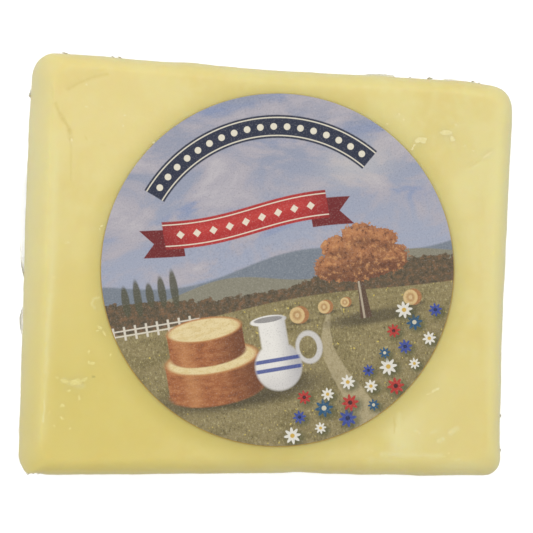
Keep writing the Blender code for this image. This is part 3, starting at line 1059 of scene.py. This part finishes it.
flakes = [Flake(*row) for row in (
    (33.9, 26.8, 1.45, 0.75, 0.1), (32.2, 25.4, 0.85, 0.20, 0.9), (31.7, 24.8, 0.28, 0.25, 0.0),
    (39.2, 28.5, 1.40, 0.60, 0.0), (40.7, 27.2, 0.60, 0.62, 0.0), (41.4, 30.2, 0.42, 0.38, 0.0),
    (43.1, 25.6, 0.36, 0.20, 0.0), (45.0, 24.5, 0.22, 0.20, 0.0), (48.1, 23.5, 1.55, 0.42, 0.64),
    (29.1, 32.5, 0.34, 0.30, 0.0), (30.1, 31.5, 0.25, 0.22, 0.0), (26.4, 30.4, 0.34, 0.30, 0.5),
    (46.4, 13.2, 0.28, 0.24, 0.0), (45.4, 12.6, 0.40, 0.12, 0.8), (40.2, -36.2, 0.60, 0.40, 0.2),
    (37.7, -38.2, 0.55, 0.35, 0.5), (33.3, -36.4, 0.40, 0.22, -0.5), (32.8, -38.4, 0.30, 0.20, 0.6),
    (33.7, -40.9, 0.34, 0.20, -0.6), (36.9, -27.2, 1.30, 0.26, 0.5), (35.4, -28.0, 0.70, 0.18, 0.2),
    (-40.6, -25.4, 1.75, 0.85, 0.12), (-43.2, -25.2, 1.10, 0.45, -0.3),
    (-38.9, -24.9, 0.80, 0.40, 0.6), (-42.4, -27.3, 0.36, 0.26, 0.3),
    (-44.8, -24.4, 0.34, 0.22, -0.5), (-40.1, -28.8, 0.36, 0.48, 0.0),
    (-43.9, -30.6, 0.62, 0.46, 0.6), (-44.0, -33.2, 0.60, 0.34, -0.7),
    (-45.5, -34.9, 0.34, 0.22, -0.6), (-42.2, -35.5, 0.30, 0.26, 0.0),
    (-46.6, -32.1, 0.70, 0.12, 1.1), (-38.1, -18.8, 0.55, 0.40, 0.9),
    (-37.5, -21.3, 0.95, 0.34, -0.1), (-33.4, -19.5, 0.26, 0.24, 0.0),
    (-35.6, -13.7, 0.85, 0.36, -0.7), (-34.6, -14.9, 0.80, 0.34, -0.9),
    (-36.2, -14.3, 0.45, 0.24, 0.2), (-45.6, -2.7, 0.50, 0.34, 0.0),
    (-47.4, -17.2, 0.34, 0.40, 0.0), (-35.3, 8.3, 0.24, 0.26, 0.0), (-35.6, 7.6, 0.20, 0.24, 0.0),
    (-42.8, 4.8, 0.50, 0.22, 0.1), (-38.6, 39.0, 0.34, 0.22, -0.5), (-38.6, 34.2, 0.25, 0.25, 0.0),
    (-30.4, 32.3, 0.34, 0.25, 0.0), (-30.6, 29.9, 0.28, 0.26, 0.0), (-41.8, 26.9, 0.36, 0.34, 0.0),
    (-45.3, 25.8, 0.28, 0.40, 0.2), (-47.0, 22.9, 0.42, 0.22, 0.3), (-24.1, 26.2, 0.28, 0.24, 0.0),
    (-35.2, 34.0, 0.22, 0.22, 0.0),
)]
SPECKLES = 34
SPECKLE_SIZES = (0.10, 0.22)
SPECKLE_SLIMNESS = 0.8
# The spot's middle and spread along the block, and then across it.
FROST_SPOT = ((30.5, 4.2), (-40.6, 0.9))
FROST_FRONT = -41.6
HALF_TURN = (0.0, 3.1)
UNDER_FLAKES = 16
UNDER_X = (-38.0, 44.0)
UNDER_Y = (-36.0, 34.0)
UNDER_SIZES = (0.2, 0.9)
UNDER_SLIMNESS = (0.35, 0.9)

flake_choice = np.random.default_rng(23)
for number in range(SPECKLES):
    x, y = [flake_choice.normal(*middle_and_spread) for middle_and_spread in FROST_SPOT]
    size = flake_choice.uniform(*SPECKLE_SIZES)
    turn = flake_choice.uniform(*HALF_TURN)
    flakes.append(Flake(x, max(y, FROST_FRONT), size, size * SPECKLE_SLIMNESS, turn))

under_flakes = []
for number in range(UNDER_FLAKES):
    limits = (UNDER_X, UNDER_Y, UNDER_SIZES, UNDER_SLIMNESS, HALF_TURN)
    x, y, size, slim, turn = [flake_choice.uniform(*pair) for pair in limits]
    under_flakes.append(Flake(x, y, size, size * slim, turn))
print("flakes on top", len(flakes), "and below", len(under_flakes))

# %% Heights and turns of the flakes
FLAKE_SINK = 0.02
TOP_START = 0.1
UNDER_START = -0.1

cheese_tree = BVHTree.FromObject(cheese, bpy.context.evaluated_depsgraph_get())


def on_cheese(flake, start_height):
    """Return where a flake lies on the cheese, found by a ray from above or from below."""
    towards = Vector((0.0, 0.0, -1.0 if start_height > 0.0 else 1.0))
    hit = cheese_tree.ray_cast(Vector((flake.x * MM, flake.y * MM, start_height)), towards)
    return hit[0] + towards * FLAKE_SINK * MM


flake_places = [on_cheese(flake, TOP_START) for flake in flakes]
flake_places += [on_cheese(flake, UNDER_START) for flake in under_flakes]
flakes += under_flakes
flake_sizes = {
    "half_length": [flake.half_length * MM for flake in flakes],
    "half_width": [flake.half_width * MM for flake in flakes],
    "half_height": [FLAKE_HALF_HEIGHT * MM] * len(flakes),
    "turn": [flake.turn for flake in flakes],
}
flake_data = bpy.data.meshes.new("pale_flakes")
flake_data.from_pydata(flake_places, [], [])
for name, values in flake_sizes.items():
    flake_data.attributes.new(name, "FLOAT", "POINT").data.foreach_set("value", values)
pale_flakes = add_object("pale_flakes", flake_data)
print("highest flake in mm", round(max(place.z for place in flake_places) / MM, 2))

# %% The crumb material
CRUMB_LOW = ((229, 214, 124), (235, 222, 153))
CRUMB_HIGH = ((236, 223, 142), (240, 228, 165))

crumb_material, tree, shader = new_material("Pale Crumb")
crumb_place = in_millimetres(tree)
crumb_x, crumb_y = parts_of(crumb_place)[:2]
# Crumbs are paler from the front left corner to the middle of the block.
crumb_paler = ramp(scaled(crumb_x, 0.5, crumb_y), -40.0, 0.0)
crumb_tone = ramp(noise_value(crumb_place, 2.2, detail=3.0), 0.35, 0.65)
crumb_low = mix_colour(crumb_paler, *CRUMB_LOW)
crumb_high = mix_colour(crumb_paler, *CRUMB_HIGH)
fill(shader, {"Base Color": mix_colour(crumb_tone, crumb_low, crumb_high), "Roughness": 0.5})
print("nodes in the crumb material", len(tree.nodes))

# %% The tree that makes the flakes
GEOMETRY = {"Geometry": "Geometry"}
NOISE_MIDDLE = (0.5, 0.5, 0.5)
PULL_SHARES = (1.0, 1.0, 0.08)
RAGGEDNESS = 1.5 * MM
GRAINS_PER_METRE = 1.1 / MM


def copies(points, shape, **inputs):
    """Return real copies of a shape that stand on points."""
    inputs = {"Points": points, "Instance": shape, **inputs}
    placed = add_node(points.tree, "GeometryNodeInstanceOnPoints", inputs)
    return add_node(points.tree, "GeometryNodeRealizeInstances", {0: placed})


def vector_maths(operation, vector, inputs):
    """Return the result of a Vector Math node."""
    return add_node(vector.tree, "ShaderNodeVectorMath", {0: vector, **inputs}, operation=operation)


def give_material(tree, geometry, start, end):
    """End a geometry tree with its material."""
    inputs = {"Geometry": geometry, "Material": start["Material"]}
    fill(end, {"Geometry": add_node(tree, "GeometryNodeSetMaterial", inputs)})


def run_tree(piece, tree, values):
    """Run a geometry tree on an object and keep its result as a plain mesh."""
    modifier = piece.modifiers.new(tree.name, "NODES")
    modifier.node_group = tree
    for item in tree.interface.items_tree:
        if item.in_out == "INPUT" and item.name in values:
            modifier[item.identifier] = values[item.name]
    graph = bpy.context.evaluated_depsgraph_get()
    made = bpy.data.meshes.new_from_object(piece.evaluated_get(graph))
    piece.modifiers.remove(modifier)
    piece.data = made


flake_inputs = {**GEOMETRY, "Raggedness": "Float", "Grain": "Float", "Material": "Material"}
flake_tree, start, end = new_tree("GeometryNodeTree", "Flakes On Points", flake_inputs, GEOMETRY)
ball = add_node(flake_tree, "GeometryNodeMeshIcoSphere", {"Radius": 1.0, "Subdivisions": 3})
half_length, half_width, half_height, turn = [
    add_node(flake_tree, "GeometryNodeInputNamedAttribute", {"Name": name}, data_type="FLOAT")
    for name in flake_sizes
]
axes = {"X": half_length, "Y": half_width, "Z": half_height}
scale = add_node(flake_tree, "ShaderNodeCombineXYZ", axes)
rotation = add_node(flake_tree, "ShaderNodeCombineXYZ", {"Z": turn})
real = copies(start["Geometry"], ball, Rotation=rotation, Scale=scale)
rough_inputs = {"Scale": start["Grain"], "Detail": 3.0, "Roughness": 0.7}
rough = add_node(flake_tree, "ShaderNodeTexNoise", rough_inputs, "Color")
centred = vector_maths("SUBTRACT", rough, {1: NOISE_MIDDLE})
flattened = vector_maths("MULTIPLY", centred, {1: PULL_SHARES})
pull = vector_maths("SCALE", flattened, {"Scale": start["Raggedness"]})
torn = add_node(flake_tree, "GeometryNodeSetPosition", {"Geometry": real, "Offset": pull})
give_material(flake_tree, torn, start, end)
flake_values = {"Raggedness": RAGGEDNESS, "Grain": GRAINS_PER_METRE, "Material": crumb_material}
run_tree(pale_flakes, flake_tree, flake_values)
print("flake triangles", triangles(pale_flakes))

# %% [markdown]
# Clear film is hardly there when it is seen straight on. It shows at a grazing angle, where it
# mirrors the room, and where it stands off the cheese and scatters a little light. So its
# near-white colour, a painted reflection of the room and of that scattered light, has a low
# alpha, which rises with the facing angle and with the haze that the mesh carries. Where hazy
# film turns steeply away, at the edges of the tents, a darker grey is painted in as painted shade.

# %% The film material
FILM_CLEAR = (232, 232, 222)
FILM_EDGE_SHADE = (154, 151, 116)
FACING_BLEND = 0.35
CLEAR_ALPHA = 0.03
FACING_ALPHA = 0.08
HAZE_ALPHA = 0.42
STEEP_HAZE_ALPHA = 1.2
MOST_ALPHA = 0.9

film_material, tree, shader = new_material("Clear Film")
facing = add_node(tree, "ShaderNodeLayerWeight", {"Blend": FACING_BLEND}, "Facing")
haze_value = add_node(tree, "ShaderNodeAttribute", output="Fac", attribute_name="haze")
steep_haze = haze_value * maths("POWER", facing, 3.0)
seen = scaled(facing * facing, FACING_ALPHA, CLEAR_ALPHA)
seen = scaled(haze_value, HAZE_ALPHA, seen)
seen = scaled(steep_haze, STEEP_HAZE_ALPHA, seen)
# The near-white colour is painted reflection, and the darker grey on steep, hazy film is painted shade.
fill(shader, {
    "Alpha": maths("MINIMUM", seen, MOST_ALPHA),
    "Base Color": mix_colour(ramp(steep_haze, 0.08, 0.4), FILM_CLEAR, FILM_EDGE_SHADE),
    "Roughness": 0.2,
})
film.data.materials.append(film_material)
seam.data.materials.append(film_material)
print("nodes in the film material", len(tree.nodes))

# %% [markdown]
# A heated bar welded the two layers of the seam together, and its ribs left a row of fine
# ridges under the block. Geometry Nodes set a slim rounded bar on each point of a line.

# %% Ribs of the heat seal
RIB_PITCH = 1.2
RIB_SIZE = (4.6, 0.36, 0.06)
RIB_HEIGHT = 0.09
RIB_END_GAP = 9.0

welded_material, tree, shader = new_material("Welded Film")
fill(shader, {"Base Color": linear((240, 236, 214)), "Roughness": 0.3})

rib_column = outer[SEAM_BOTTOM_RING + 2, seam_columns]
rib_low_y = float(rib_column[:, 1].min() + RIB_END_GAP)
rib_high_y = float(rib_column[:, 1].max() - RIB_END_GAP)
rib_count = int((rib_high_y - rib_low_y) / RIB_PITCH) + 1
rib_run = rib_column[0] - rib_column[-1]
rib_lean = float(rib_run[0] / rib_run[1])
rib_low_x = float(np.median(rib_column[:, 0])) + rib_lean * (rib_low_y - rib_high_y) / 2.0

rib_inputs = {**GEOMETRY, "Count": "Int", "Start": "Vector", "Step": "Vector", "Size": "Vector"}
rib_inputs["Material"] = "Material"
rib_tree, start, end = new_tree("GeometryNodeTree", "Ribs On A Line", rib_inputs, GEOMETRY)
line_inputs = {"Count": start["Count"], "Start Location": start["Start"], "Offset": start["Step"]}
rib_line = add_node(rib_tree, "GeometryNodeMeshLine", line_inputs)
rib_bar = add_node(rib_tree, "GeometryNodeMeshIcoSphere", {"Radius": 0.5, "Subdivisions": 2})
give_material(rib_tree, copies(rib_line, rib_bar, Scale=start["Size"]), start, end)
rib_values = {
    "Count": rib_count,
    "Start": [rib_low_x * MM, rib_low_y * MM, RIB_HEIGHT * MM],
    "Step": [rib_lean * RIB_PITCH * MM, RIB_PITCH * MM, 0.0],
    "Size": [side * MM for side in RIB_SIZE],
    "Material": welded_material,
}
seal_ribs = add_object("seal_ribs", bpy.data.meshes.new("seal_ribs"))
run_tree(seal_ribs, rib_tree, rib_values)
print("ribs", rib_count, "triangles", triangles(seal_ribs))

# %% [markdown]
# The label is printed like a photograph: a cloudy lavender sky over an autumn meadow. Its
# design is a plain country one: hills, a wood, a big oak, hay bales, a path, two wheels of
# cheese with a milk jug, and flowers. A beaded navy arc and a red ribbon give it the strong
# colours of print. Every shape is a mask: a soft ellipse, a band, or the ground below a wavy
# line. Two masks multiplied give what lies in both.

# %% Masks for the print
TURN_OF_PRINT = math.radians(9.5)

label_material, tree, shader = new_material("Printed Paper")
paper = in_millimetres(tree, LABEL_CENTRE, TURN_OF_PRINT)
across, up = parts_of(paper)[:2]


def near(value, middle, reach, softness=0.12):
    """Return a mask of where a value lies within a reach of its middle."""
    return ramp(abs(value - middle), reach + softness, reach - softness)


def box(centre, half_size, softness=0.12):
    """Return the mask of an upright box on the paper."""
    return near(across, centre[0], half_size[0], softness) * near(up, centre[1], half_size[1], softness)


def spot(centre, half_size, softness=0.08):
    """Return the mask of an ellipse on the paper."""
    return ellipse((across, up), centre, half_size, softness=softness)


def wavy(level, swing, wave_mm, shift):
    """Return the height of a wavy line that crosses the paper."""
    angle = scaled(across, 2.0 * math.pi / wave_mm, shift)
    return scaled(maths("SINE", angle), swing, level)


def below(edge, softness=0.15):
    """Return a mask of the ground below a line."""
    return ramp(edge - up, -softness, softness)


def paper_noise(scale_across, scale_up, detail=3.0, rough=0.55, distortion=0.0):
    """Return noise on the paper, stretched where the two scales differ."""
    stretch = {"Vector": paper, "Scale": (scale_across, scale_up, 1.0)}
    stretched = add_node(tree, "ShaderNodeMapping", stretch, vector_type="POINT")
    return noise_value(stretched, 1.0, detail, rough, distortion)


def paint(colour, mask, strength=1.0):
    """Paint a colour over the print so far."""
    global printed
    if strength != 1.0:
        mask = mask * strength
    printed = mix_colour(mask, printed, colour)


print("label radius in mm", LABEL_RADIUS)

# %% Sky
printed = mix_colour(ramp(up, 0.0, 34.0), (162, 168, 186), (147, 152, 170))
streaks = paper_noise(0.04, 0.13, detail=5.0, distortion=0.5)
clouds = paper_noise(0.055, 0.10, detail=7.0, rough=0.62, distortion=0.8)
paint((130, 145, 181), ramp(streaks, 0.50, 0.66), 0.6)
paint((178, 172, 179), ramp(clouds, 0.42, 0.58), 0.9)
paint((198, 192, 194), ramp(clouds, 0.55, 0.72), 0.75)
paint((216, 208, 196), spot((21.0, 20.0), (6.5, 4.0), 0.95), 0.4)
print("sky painted")

# %% Hills and wood
POPLARS = 5

leaves = paper_noise(0.9, 0.9, detail=4.0, rough=0.7)
bumps = paper_noise(0.45, 0.45, detail=4.0, rough=0.6)
paint((122, 130, 140), below(wavy(1.5, 1.9, 52.0, 0.9), 0.3))
paint((138, 134, 116), below(wavy(-1.6, 1.5, 38.0, 3.4), 0.2))
wood = below(wavy(-3.2, 1.3, 61.0, 5.4) + scaled(bumps, 4.4, -2.2))
paint((94, 80, 58), wood)
paint((128, 96, 66), wood * ramp(leaves, 0.48, 0.62), 0.8)
paint((58, 54, 40), wood * ramp(leaves, 0.46, 0.34), 0.7)
for number in range(POPLARS):
    foot = (-33.5 + 2.7 * number, -1.6 + 0.3 * number)
    tall = 3.4 + 0.8 * math.sin(2.1 * number)
    paint((82, 80, 58), spot(foot, (0.85, tall), 0.2), 0.9)
print("poplars", POPLARS)

# %% Meadow, path and fence
FENCE_PITCH = 2.4

meadow = below(wavy(-7.6, 0.9, 70.0, 1.2))
blades = paper_noise(1.9, 1.1, detail=5.0, rough=0.78)
bare_ground = paper_noise(0.16, 0.35, detail=3.0)
specks = paper_noise(1.3, 1.1, detail=1.0)
paint((144, 130, 88), meadow)
paint((120, 108, 66), meadow * ramp(bare_ground, 0.45, 0.65), 0.7)
paint((196, 184, 134), meadow * ramp(blades, 0.53, 0.68), 0.8)
paint((76, 66, 40), meadow * ramp(blades, 0.46, 0.33), 0.8)
paint((212, 190, 92), meadow * ramp(specks, 0.71, 0.74), 0.85)

depth = -8.5 - up
path_middle = scaled(maths("SINE", scaled(up, 0.16, 1.2)), 3.0, 11.0)
path_half_width = scaled(depth, 0.11, 0.25)
path_gap = scaled(bumps, 0.9, abs(across - path_middle))
path_edge = path_half_width - (path_gap - 0.45)
on_path = ramp(path_edge, -0.15, 0.25) * ramp(depth, 0.0, 0.6)
paint((182, 168, 130), on_path, 0.85)
paint((150, 134, 96), on_path * ramp(blades, 0.48, 0.62), 0.7)

post_share = maths("FRACT", across / FENCE_PITCH)
posts = near(post_share, 0.5, 0.10, 0.04) * near(up, -8.2, 1.5)
rails = either([near(up, -7.6, 0.16, 0.08), near(up, -8.7, 0.16, 0.08)])
paint((226, 218, 200), either([posts, rails]) * ramp(across, -18.0, -18.6), 0.9)
print("meadow painted")

# %% Oak
OAK_CROWN = (
    (17.8, 0.3, 6.4, 4.4), (12.2, -1.4, 4.2, 3.0), (24.0, -1.2, 4.4, 3.2), (18.6, 4.4, 4.2, 2.6),
    (13.8, 2.6, 3.6, 2.6), (23.0, 2.6, 3.6, 2.6), (18.0, -3.4, 6.6, 1.9),
)


def clumps(shift_x, shift_y, share_x, share_y, softness):
    """Return the mask of an ellipse in each clump of the crown, moved and sized by shares of it."""
    return either([
        spot((x + shift_x * wide, y + shift_y * tall), (share_x * wide, share_y * tall), softness)
        for x, y, wide, tall in OAK_CROWN
    ])


paint((70, 62, 44), spot((19.0, -13.4), (10.0, 1.5), 0.4), 0.7)
trunk_flare = scaled(abs(up + 6.0), 0.08, 0.7)
trunk = ramp(trunk_flare - abs(across - 17.3), -0.1, 0.15) * near(up, -7.8, 5.6)
paint((92, 70, 52), trunk)
paint((206, 192, 166), trunk * near(across, 16.9, 0.22), 0.7)
crown_edge = scaled(leaves, 1.7, clumps(0.0, 0.0, 1.0, 1.0, 0.45) - 0.85)
oak = ramp(crown_edge, 0.42, 0.52)
paint((158, 100, 64), oak)
paint((204, 140, 88), oak * clumps(-0.2, 0.35, 0.75, 0.6, 0.8), 0.55)
paint((92, 56, 38), oak * clumps(0.15, -0.6, 0.8, 0.45, 0.8), 0.55)
paint((96, 60, 40), oak * ramp(up, 2.0, -5.0), 0.45)
paint((214, 156, 100), oak * ramp(leaves, 0.52, 0.64), 0.65)
paint((90, 52, 34), oak * ramp(leaves, 0.47, 0.36), 0.75)
print("oak crown of", len(OAK_CROWN), "clumps")

# %% Hay bales
BALES = ((2.6, -10.4, 1.9), (8.6, -9.6, 1.5), (13.2, -9.3, 1.1), (27.4, -10.6, 1.8))
for x, y, size in BALES:
    paint((82, 72, 50), spot((x + 0.5, y - size * 0.85), (size * 1.3, size * 0.3), 0.4), 0.7)
    paint((170, 118, 72), spot((x + 0.35 * size, y), (size, size)))
    paint((216, 186, 130), spot((x, y), (size * 0.86, size * 0.92)))
    paint((176, 134, 84), spot((x, y), (size * 0.5, size * 0.55), 0.3), 0.8)
    paint((222, 196, 146), spot((x, y), (size * 0.22, size * 0.25), 0.4), 0.8)
print("bales", len(BALES))

# %% Wheels of cheese and milk jug
WHEELS = ((-17.2, -20.2, 10.2, 3.3, 6.8), (-17.8, -12.9, 8.2, 2.6, 5.4))
JUG_X = -3.2
JUG_Y = -20.6

rind = paper_noise(0.5, 1.1, detail=4.0, rough=0.7)
paint((58, 50, 34), spot((-12.0, -25.0), (17.0, 3.2), 0.4), 0.75)
for x, y, half_length, half_depth, height in WHEELS:
    half_size = (half_length, half_depth)
    foot = spot((x, y - height / 2.0), half_size)
    wall = either([foot, box((x, y), (half_length, height / 2.0))])
    top = (x, y + height / 2.0)
    paint((164, 98, 54), wall)
    paint((190, 128, 80), wall * ramp(rind, 0.48, 0.62), 0.6)
    paint((116, 66, 38), wall * ramp(rind, 0.46, 0.36), 0.5)
    paint((92, 52, 30), wall * ramp(across, x - 1.0, x + half_length), 0.75)
    paint((206, 146, 92), wall * near(across, x - 5.0, 1.4, 1.6), 0.5)
    paint((190, 130, 76), spot(top, half_size))
    cut = spot(top, (half_length * 0.93, half_depth * 0.88))
    paint((232, 212, 160), cut)
    paint((216, 190, 128), cut * ramp(rind, 0.45, 0.6), 0.6)

handle_hole = spot((JUG_X + 7.0, JUG_Y + 3.0), (1.9, 2.5))
paint((206, 202, 196), spot((JUG_X + 7.2, JUG_Y + 3.0), (2.9, 3.6)) * (1.0 - handle_hole))
jug = either([
    spot((JUG_X, JUG_Y), (5.0, 5.2)),
    box((JUG_X, JUG_Y + 6.0), (2.9, 4.2), 0.3),
    spot((JUG_X - 0.6, JUG_Y + 10.1), (3.9, 1.1)),
])
paint((234, 230, 222), jug)
paint((158, 156, 160), jug * ramp(across, JUG_X - 0.5, JUG_X + 5.0), 0.75)
paint((196, 192, 190), jug * ramp(up, JUG_Y + 1.0, JUG_Y - 5.0), 0.6)
paint((120, 116, 116), spot((JUG_X - 0.6, JUG_Y + 10.3), (3.1, 0.6)), 0.8)
jug_bands = either([near(up, JUG_Y + 1.4, 0.42), near(up, JUG_Y - 0.6, 0.42)])
paint((44, 66, 142), jug * jug_bands, 0.9)
print("wheels", len(WHEELS), "and jug painted")

# %% [markdown]
# A flower is a ring of petals, which are waves of the distance at which the ring ends. The wave
# comes from the angle round the flower, so a group with a centre and a size makes any of them.

# %% Flowers
PETALS = 8.0
WHITE_PETALS = (232, 228, 216)
FLOWER_COLOURS = (
    (WHITE_PETALS, (206, 166, 56)),
    ((54, 74, 152), (24, 34, 76)),
    ((184, 48, 42), (60, 26, 24)),
    (WHITE_PETALS, (206, 166, 56)),
    ((30, 84, 120), (214, 206, 180)),
)
FLOWER_COUNT = 22
FLOWER_ARC = (-96.0, -22.0)
FLOWER_REACH = 35.6
FLOWER_ROW_GAP = 3.4
FLOWER_JITTER = (-0.7, 0.7)
FLOWER_SIZES = (1.25, 2.0)


def make_flower_group():
    """Build a group that masks the petals and the heart of a flower."""
    inputs = ("Across", "Up", "Centre Across", "Centre Up", "Size")
    group, values, end = new_group("Flower", inputs, ("Petals", "Heart"))
    x, y, centre_x, centre_y, size = values
    gap = (x - centre_x, y - centre_y)
    wave = maths("COSINE", maths("ARCTAN2", gap[1], gap[0]) * PETALS)
    distance = length(gap) / size
    petals = ramp(scaled(wave, 0.22, 0.78) - distance, -0.05, 0.07)
    fill(end, {"Petals": petals, "Heart": ramp(distance, 0.30, 0.22)})
    return group


flower_group = make_flower_group()
flower_choice = np.random.default_rng(5)
for number in range(FLOWER_COUNT):
    share = (number + 0.5) / FLOWER_COUNT
    direction = math.radians(FLOWER_ARC[0] + (FLOWER_ARC[1] - FLOWER_ARC[0]) * share)
    reach = FLOWER_REACH - FLOWER_ROW_GAP * (number % 3) + flower_choice.uniform(*FLOWER_JITTER)
    x = reach * math.cos(direction)
    y = reach * math.sin(direction)
    size = flower_choice.uniform(*FLOWER_SIZES)
    paint((74, 78, 44), spot((x + 0.5, y - 0.7), (size * 1.1, size * 0.9), 0.5), 0.7)
    masks = outputs_of(use_group(flower_group, across, up, x, y, size))
    for colour, mask in zip(FLOWER_COLOURS[number % len(FLOWER_COLOURS)], masks):
        paint(colour, mask, 0.95)
print("flowers", FLOWER_COUNT)

# %% Ribbon
RIBBON_MIDDLE = -5.0
RIBBON_HALF_LENGTH = 18.0
RIBBON_HALF_WIDTH = 3.0
DIAMOND_PITCH = 3.6
TAIL_DROP = 1.7
TAIL_LENGTH = 2.4
NOTCH_SLOPE = 0.9
CREAM = (238, 230, 208)

ribbon_gap = up - wavy(11.6, 0.9, 46.0, 0.4)
from_middle = across - RIBBON_MIDDLE
ribbon_reach = abs(from_middle)
tail_gap = ribbon_gap + TAIL_DROP
tail_end = abs(tail_gap) * NOTCH_SLOPE + (RIBBON_HALF_LENGTH + TAIL_LENGTH) - ribbon_reach
tails = near(tail_gap, 0.0, RIBBON_HALF_WIDTH) * ramp(tail_end, -0.1, 0.1)
tails = tails * ramp(ribbon_reach, RIBBON_HALF_LENGTH - 4.0, RIBBON_HALF_LENGTH - 3.8)
paint((112, 24, 26), tails)
ribbon = near(ribbon_gap, 0.0, RIBBON_HALF_WIDTH) * near(ribbon_reach, 0.0, RIBBON_HALF_LENGTH)
paint((178, 40, 38), ribbon)
paint((210, 70, 60), ribbon * near(ribbon_gap, 0.6, 1.0, 0.9), 0.45)
paint((118, 22, 26), ribbon * ramp(ribbon_reach, 11.0, 19.0), 0.6)
ribbon_side = abs(ribbon_gap)
paint(CREAM, ribbon * near(ribbon_side, 2.3, 0.12, 0.08), 0.9)
diamond_share = maths("FRACT", scaled(from_middle, 1.0 / DIAMOND_PITCH, 0.5))
diamond_across = abs(diamond_share - 0.5) * DIAMOND_PITCH
diamonds = ramp(diamond_across + ribbon_side, 1.0, 0.8)
paint(CREAM, ribbon * diamonds * ramp(ribbon_reach, 15.4, 15.2), 0.9)
print("ribbon painted")

# %% Beaded arc
ARC_RADIUS = 31.0
ARC_HALF_WIDTH = 2.5
BEAD_PITCH = 2.9
BEADS_TO_AN_END = 9.25
ARC_HALF_ANGLE = BEADS_TO_AN_END * BEAD_PITCH / ARC_RADIUS
ARC_END_SOFTNESS = 0.004

from_top = maths("ARCTAN2", across, up)
radius_gap = length((up, across)) - ARC_RADIUS
arc_end = near(from_top, 0.0, ARC_HALF_ANGLE, ARC_END_SOFTNESS)
arc = near(radius_gap, 0.0, ARC_HALF_WIDTH) * arc_end
paint((30, 38, 62), arc)
paint(CREAM, arc * near(abs(radius_gap), 1.95, 0.13, 0.08), 0.9)
bead_share = maths("FRACT", from_top * (ARC_RADIUS / BEAD_PITCH))
bead_across = (bead_share - 0.5) * BEAD_PITCH
bead_square = dot((bead_across, radius_gap), (bead_across, radius_gap))
paint(CREAM, arc * ramp(bead_square, 0.62, 0.42), 0.92)
print("beads", int(2.0 * ARC_HALF_ANGLE * ARC_RADIUS / BEAD_PITCH))

# %% Paper, ink and grain
grain = noise_value(paper, 3.2, rough=0.7)
paint((226, 222, 216), ramp(grain, 0.5, 0.78, 0.0, 0.16))
paint((40, 38, 40), ramp(grain, 0.5, 0.22, 0.0, 0.26))
fill(shader, {
    "Base Color": printed,
    "Roughness": 0.42,
    "Specular IOR Level": 0.35,
    "Normal": bump(grain, 0.08, 0.00005),
})
label.data.materials.append(label_material)
print("nodes in the label's material", len(tree.nodes))

# %% [markdown]
# ## Ride, light and finish
#
# Everything rides on the one body. The cheese, the film, its seam and ribs and the flakes stand
# for the pack's solid, and the printed disc for the label's.

# %% Fit the pieces to the frame
for piece in (cheese, film, seam, seal_ribs, pale_flakes):
    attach(piece, "root")
    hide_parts("cheese_pack")
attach(label, "root")
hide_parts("label")

# %% [markdown]
# The photograph's light is soft and comes from above its top edge: the back shoulder is paler
# and the front one darker. A bright world gives most of it, and a wide lamp beyond the back
# edge gives the rest. The floor is pale enough to go white.

# %% Floor, lamp and world
FLOOR_GLOW = 0.62
FLOOR_HALF_SIZE = 1500.0
LAMP_PLACE = (0.0, 0.35, 0.60)
LAMP_SIZE = 0.6
LAMP_POWER = 0.8
LEVEL_LIGHT = 0.66
CEILING_LIGHT = 0.27
BACK_LIGHT = 0.08
RIGHT_LIGHT = -0.08

floor_corners = FLOOR_HALF_SIZE * np.array([(-1, -1, 0), (1, -1, 0), (1, 1, 0), (-1, 1, 0)])
floor = add_mesh("Floor", floor_corners, [(0, 1, 2, 3)])
floor_material, tree, shader = new_material("Pale Floor")
for_camera = add_node(tree, "ShaderNodeLightPath", output="Is Camera Ray")
fill(shader, {
    "Base Color": (0.72, 0.72, 0.72, 1.0),
    "Roughness": 0.9,
    "Specular IOR Level": 0.1,
    "Emission Color": (1.0, 1.0, 1.0, 1.0),
    "Emission Strength": for_camera * FLOOR_GLOW,
})
floor.data.materials.append(floor_material)

lamp_data = bpy.data.lights.new("Back Lamp", "AREA")
lamp_data.size = LAMP_SIZE
lamp_data.energy = LAMP_POWER
lamp = add_object("Back Lamp", lamp_data)
lamp.location = LAMP_PLACE
lamp.rotation_euler = (Vector((0.0, 0.0, 0.0)) - Vector(LAMP_PLACE)).to_track_quat("-Z", "Y").to_euler()

world = bpy.data.worlds.new("Bright Room")
world.use_nodes = True
room = world.node_tree
right, back, ceiling = parts_of(add_node(room, "ShaderNodeTexCoord", output="Generated"))
strength = scaled(ceiling, CEILING_LIGHT, LEVEL_LIGHT)
strength = scaled(back, BACK_LIGHT, strength)
strength = scaled(right, RIGHT_LIGHT, strength)
fill(room.nodes["Background"], {"Strength": strength, "Color": (1.0, 1.0, 1.0, 1.0)})
bpy.context.scene.world = world
bpy.context.scene.view_settings.view_transform = "Standard"
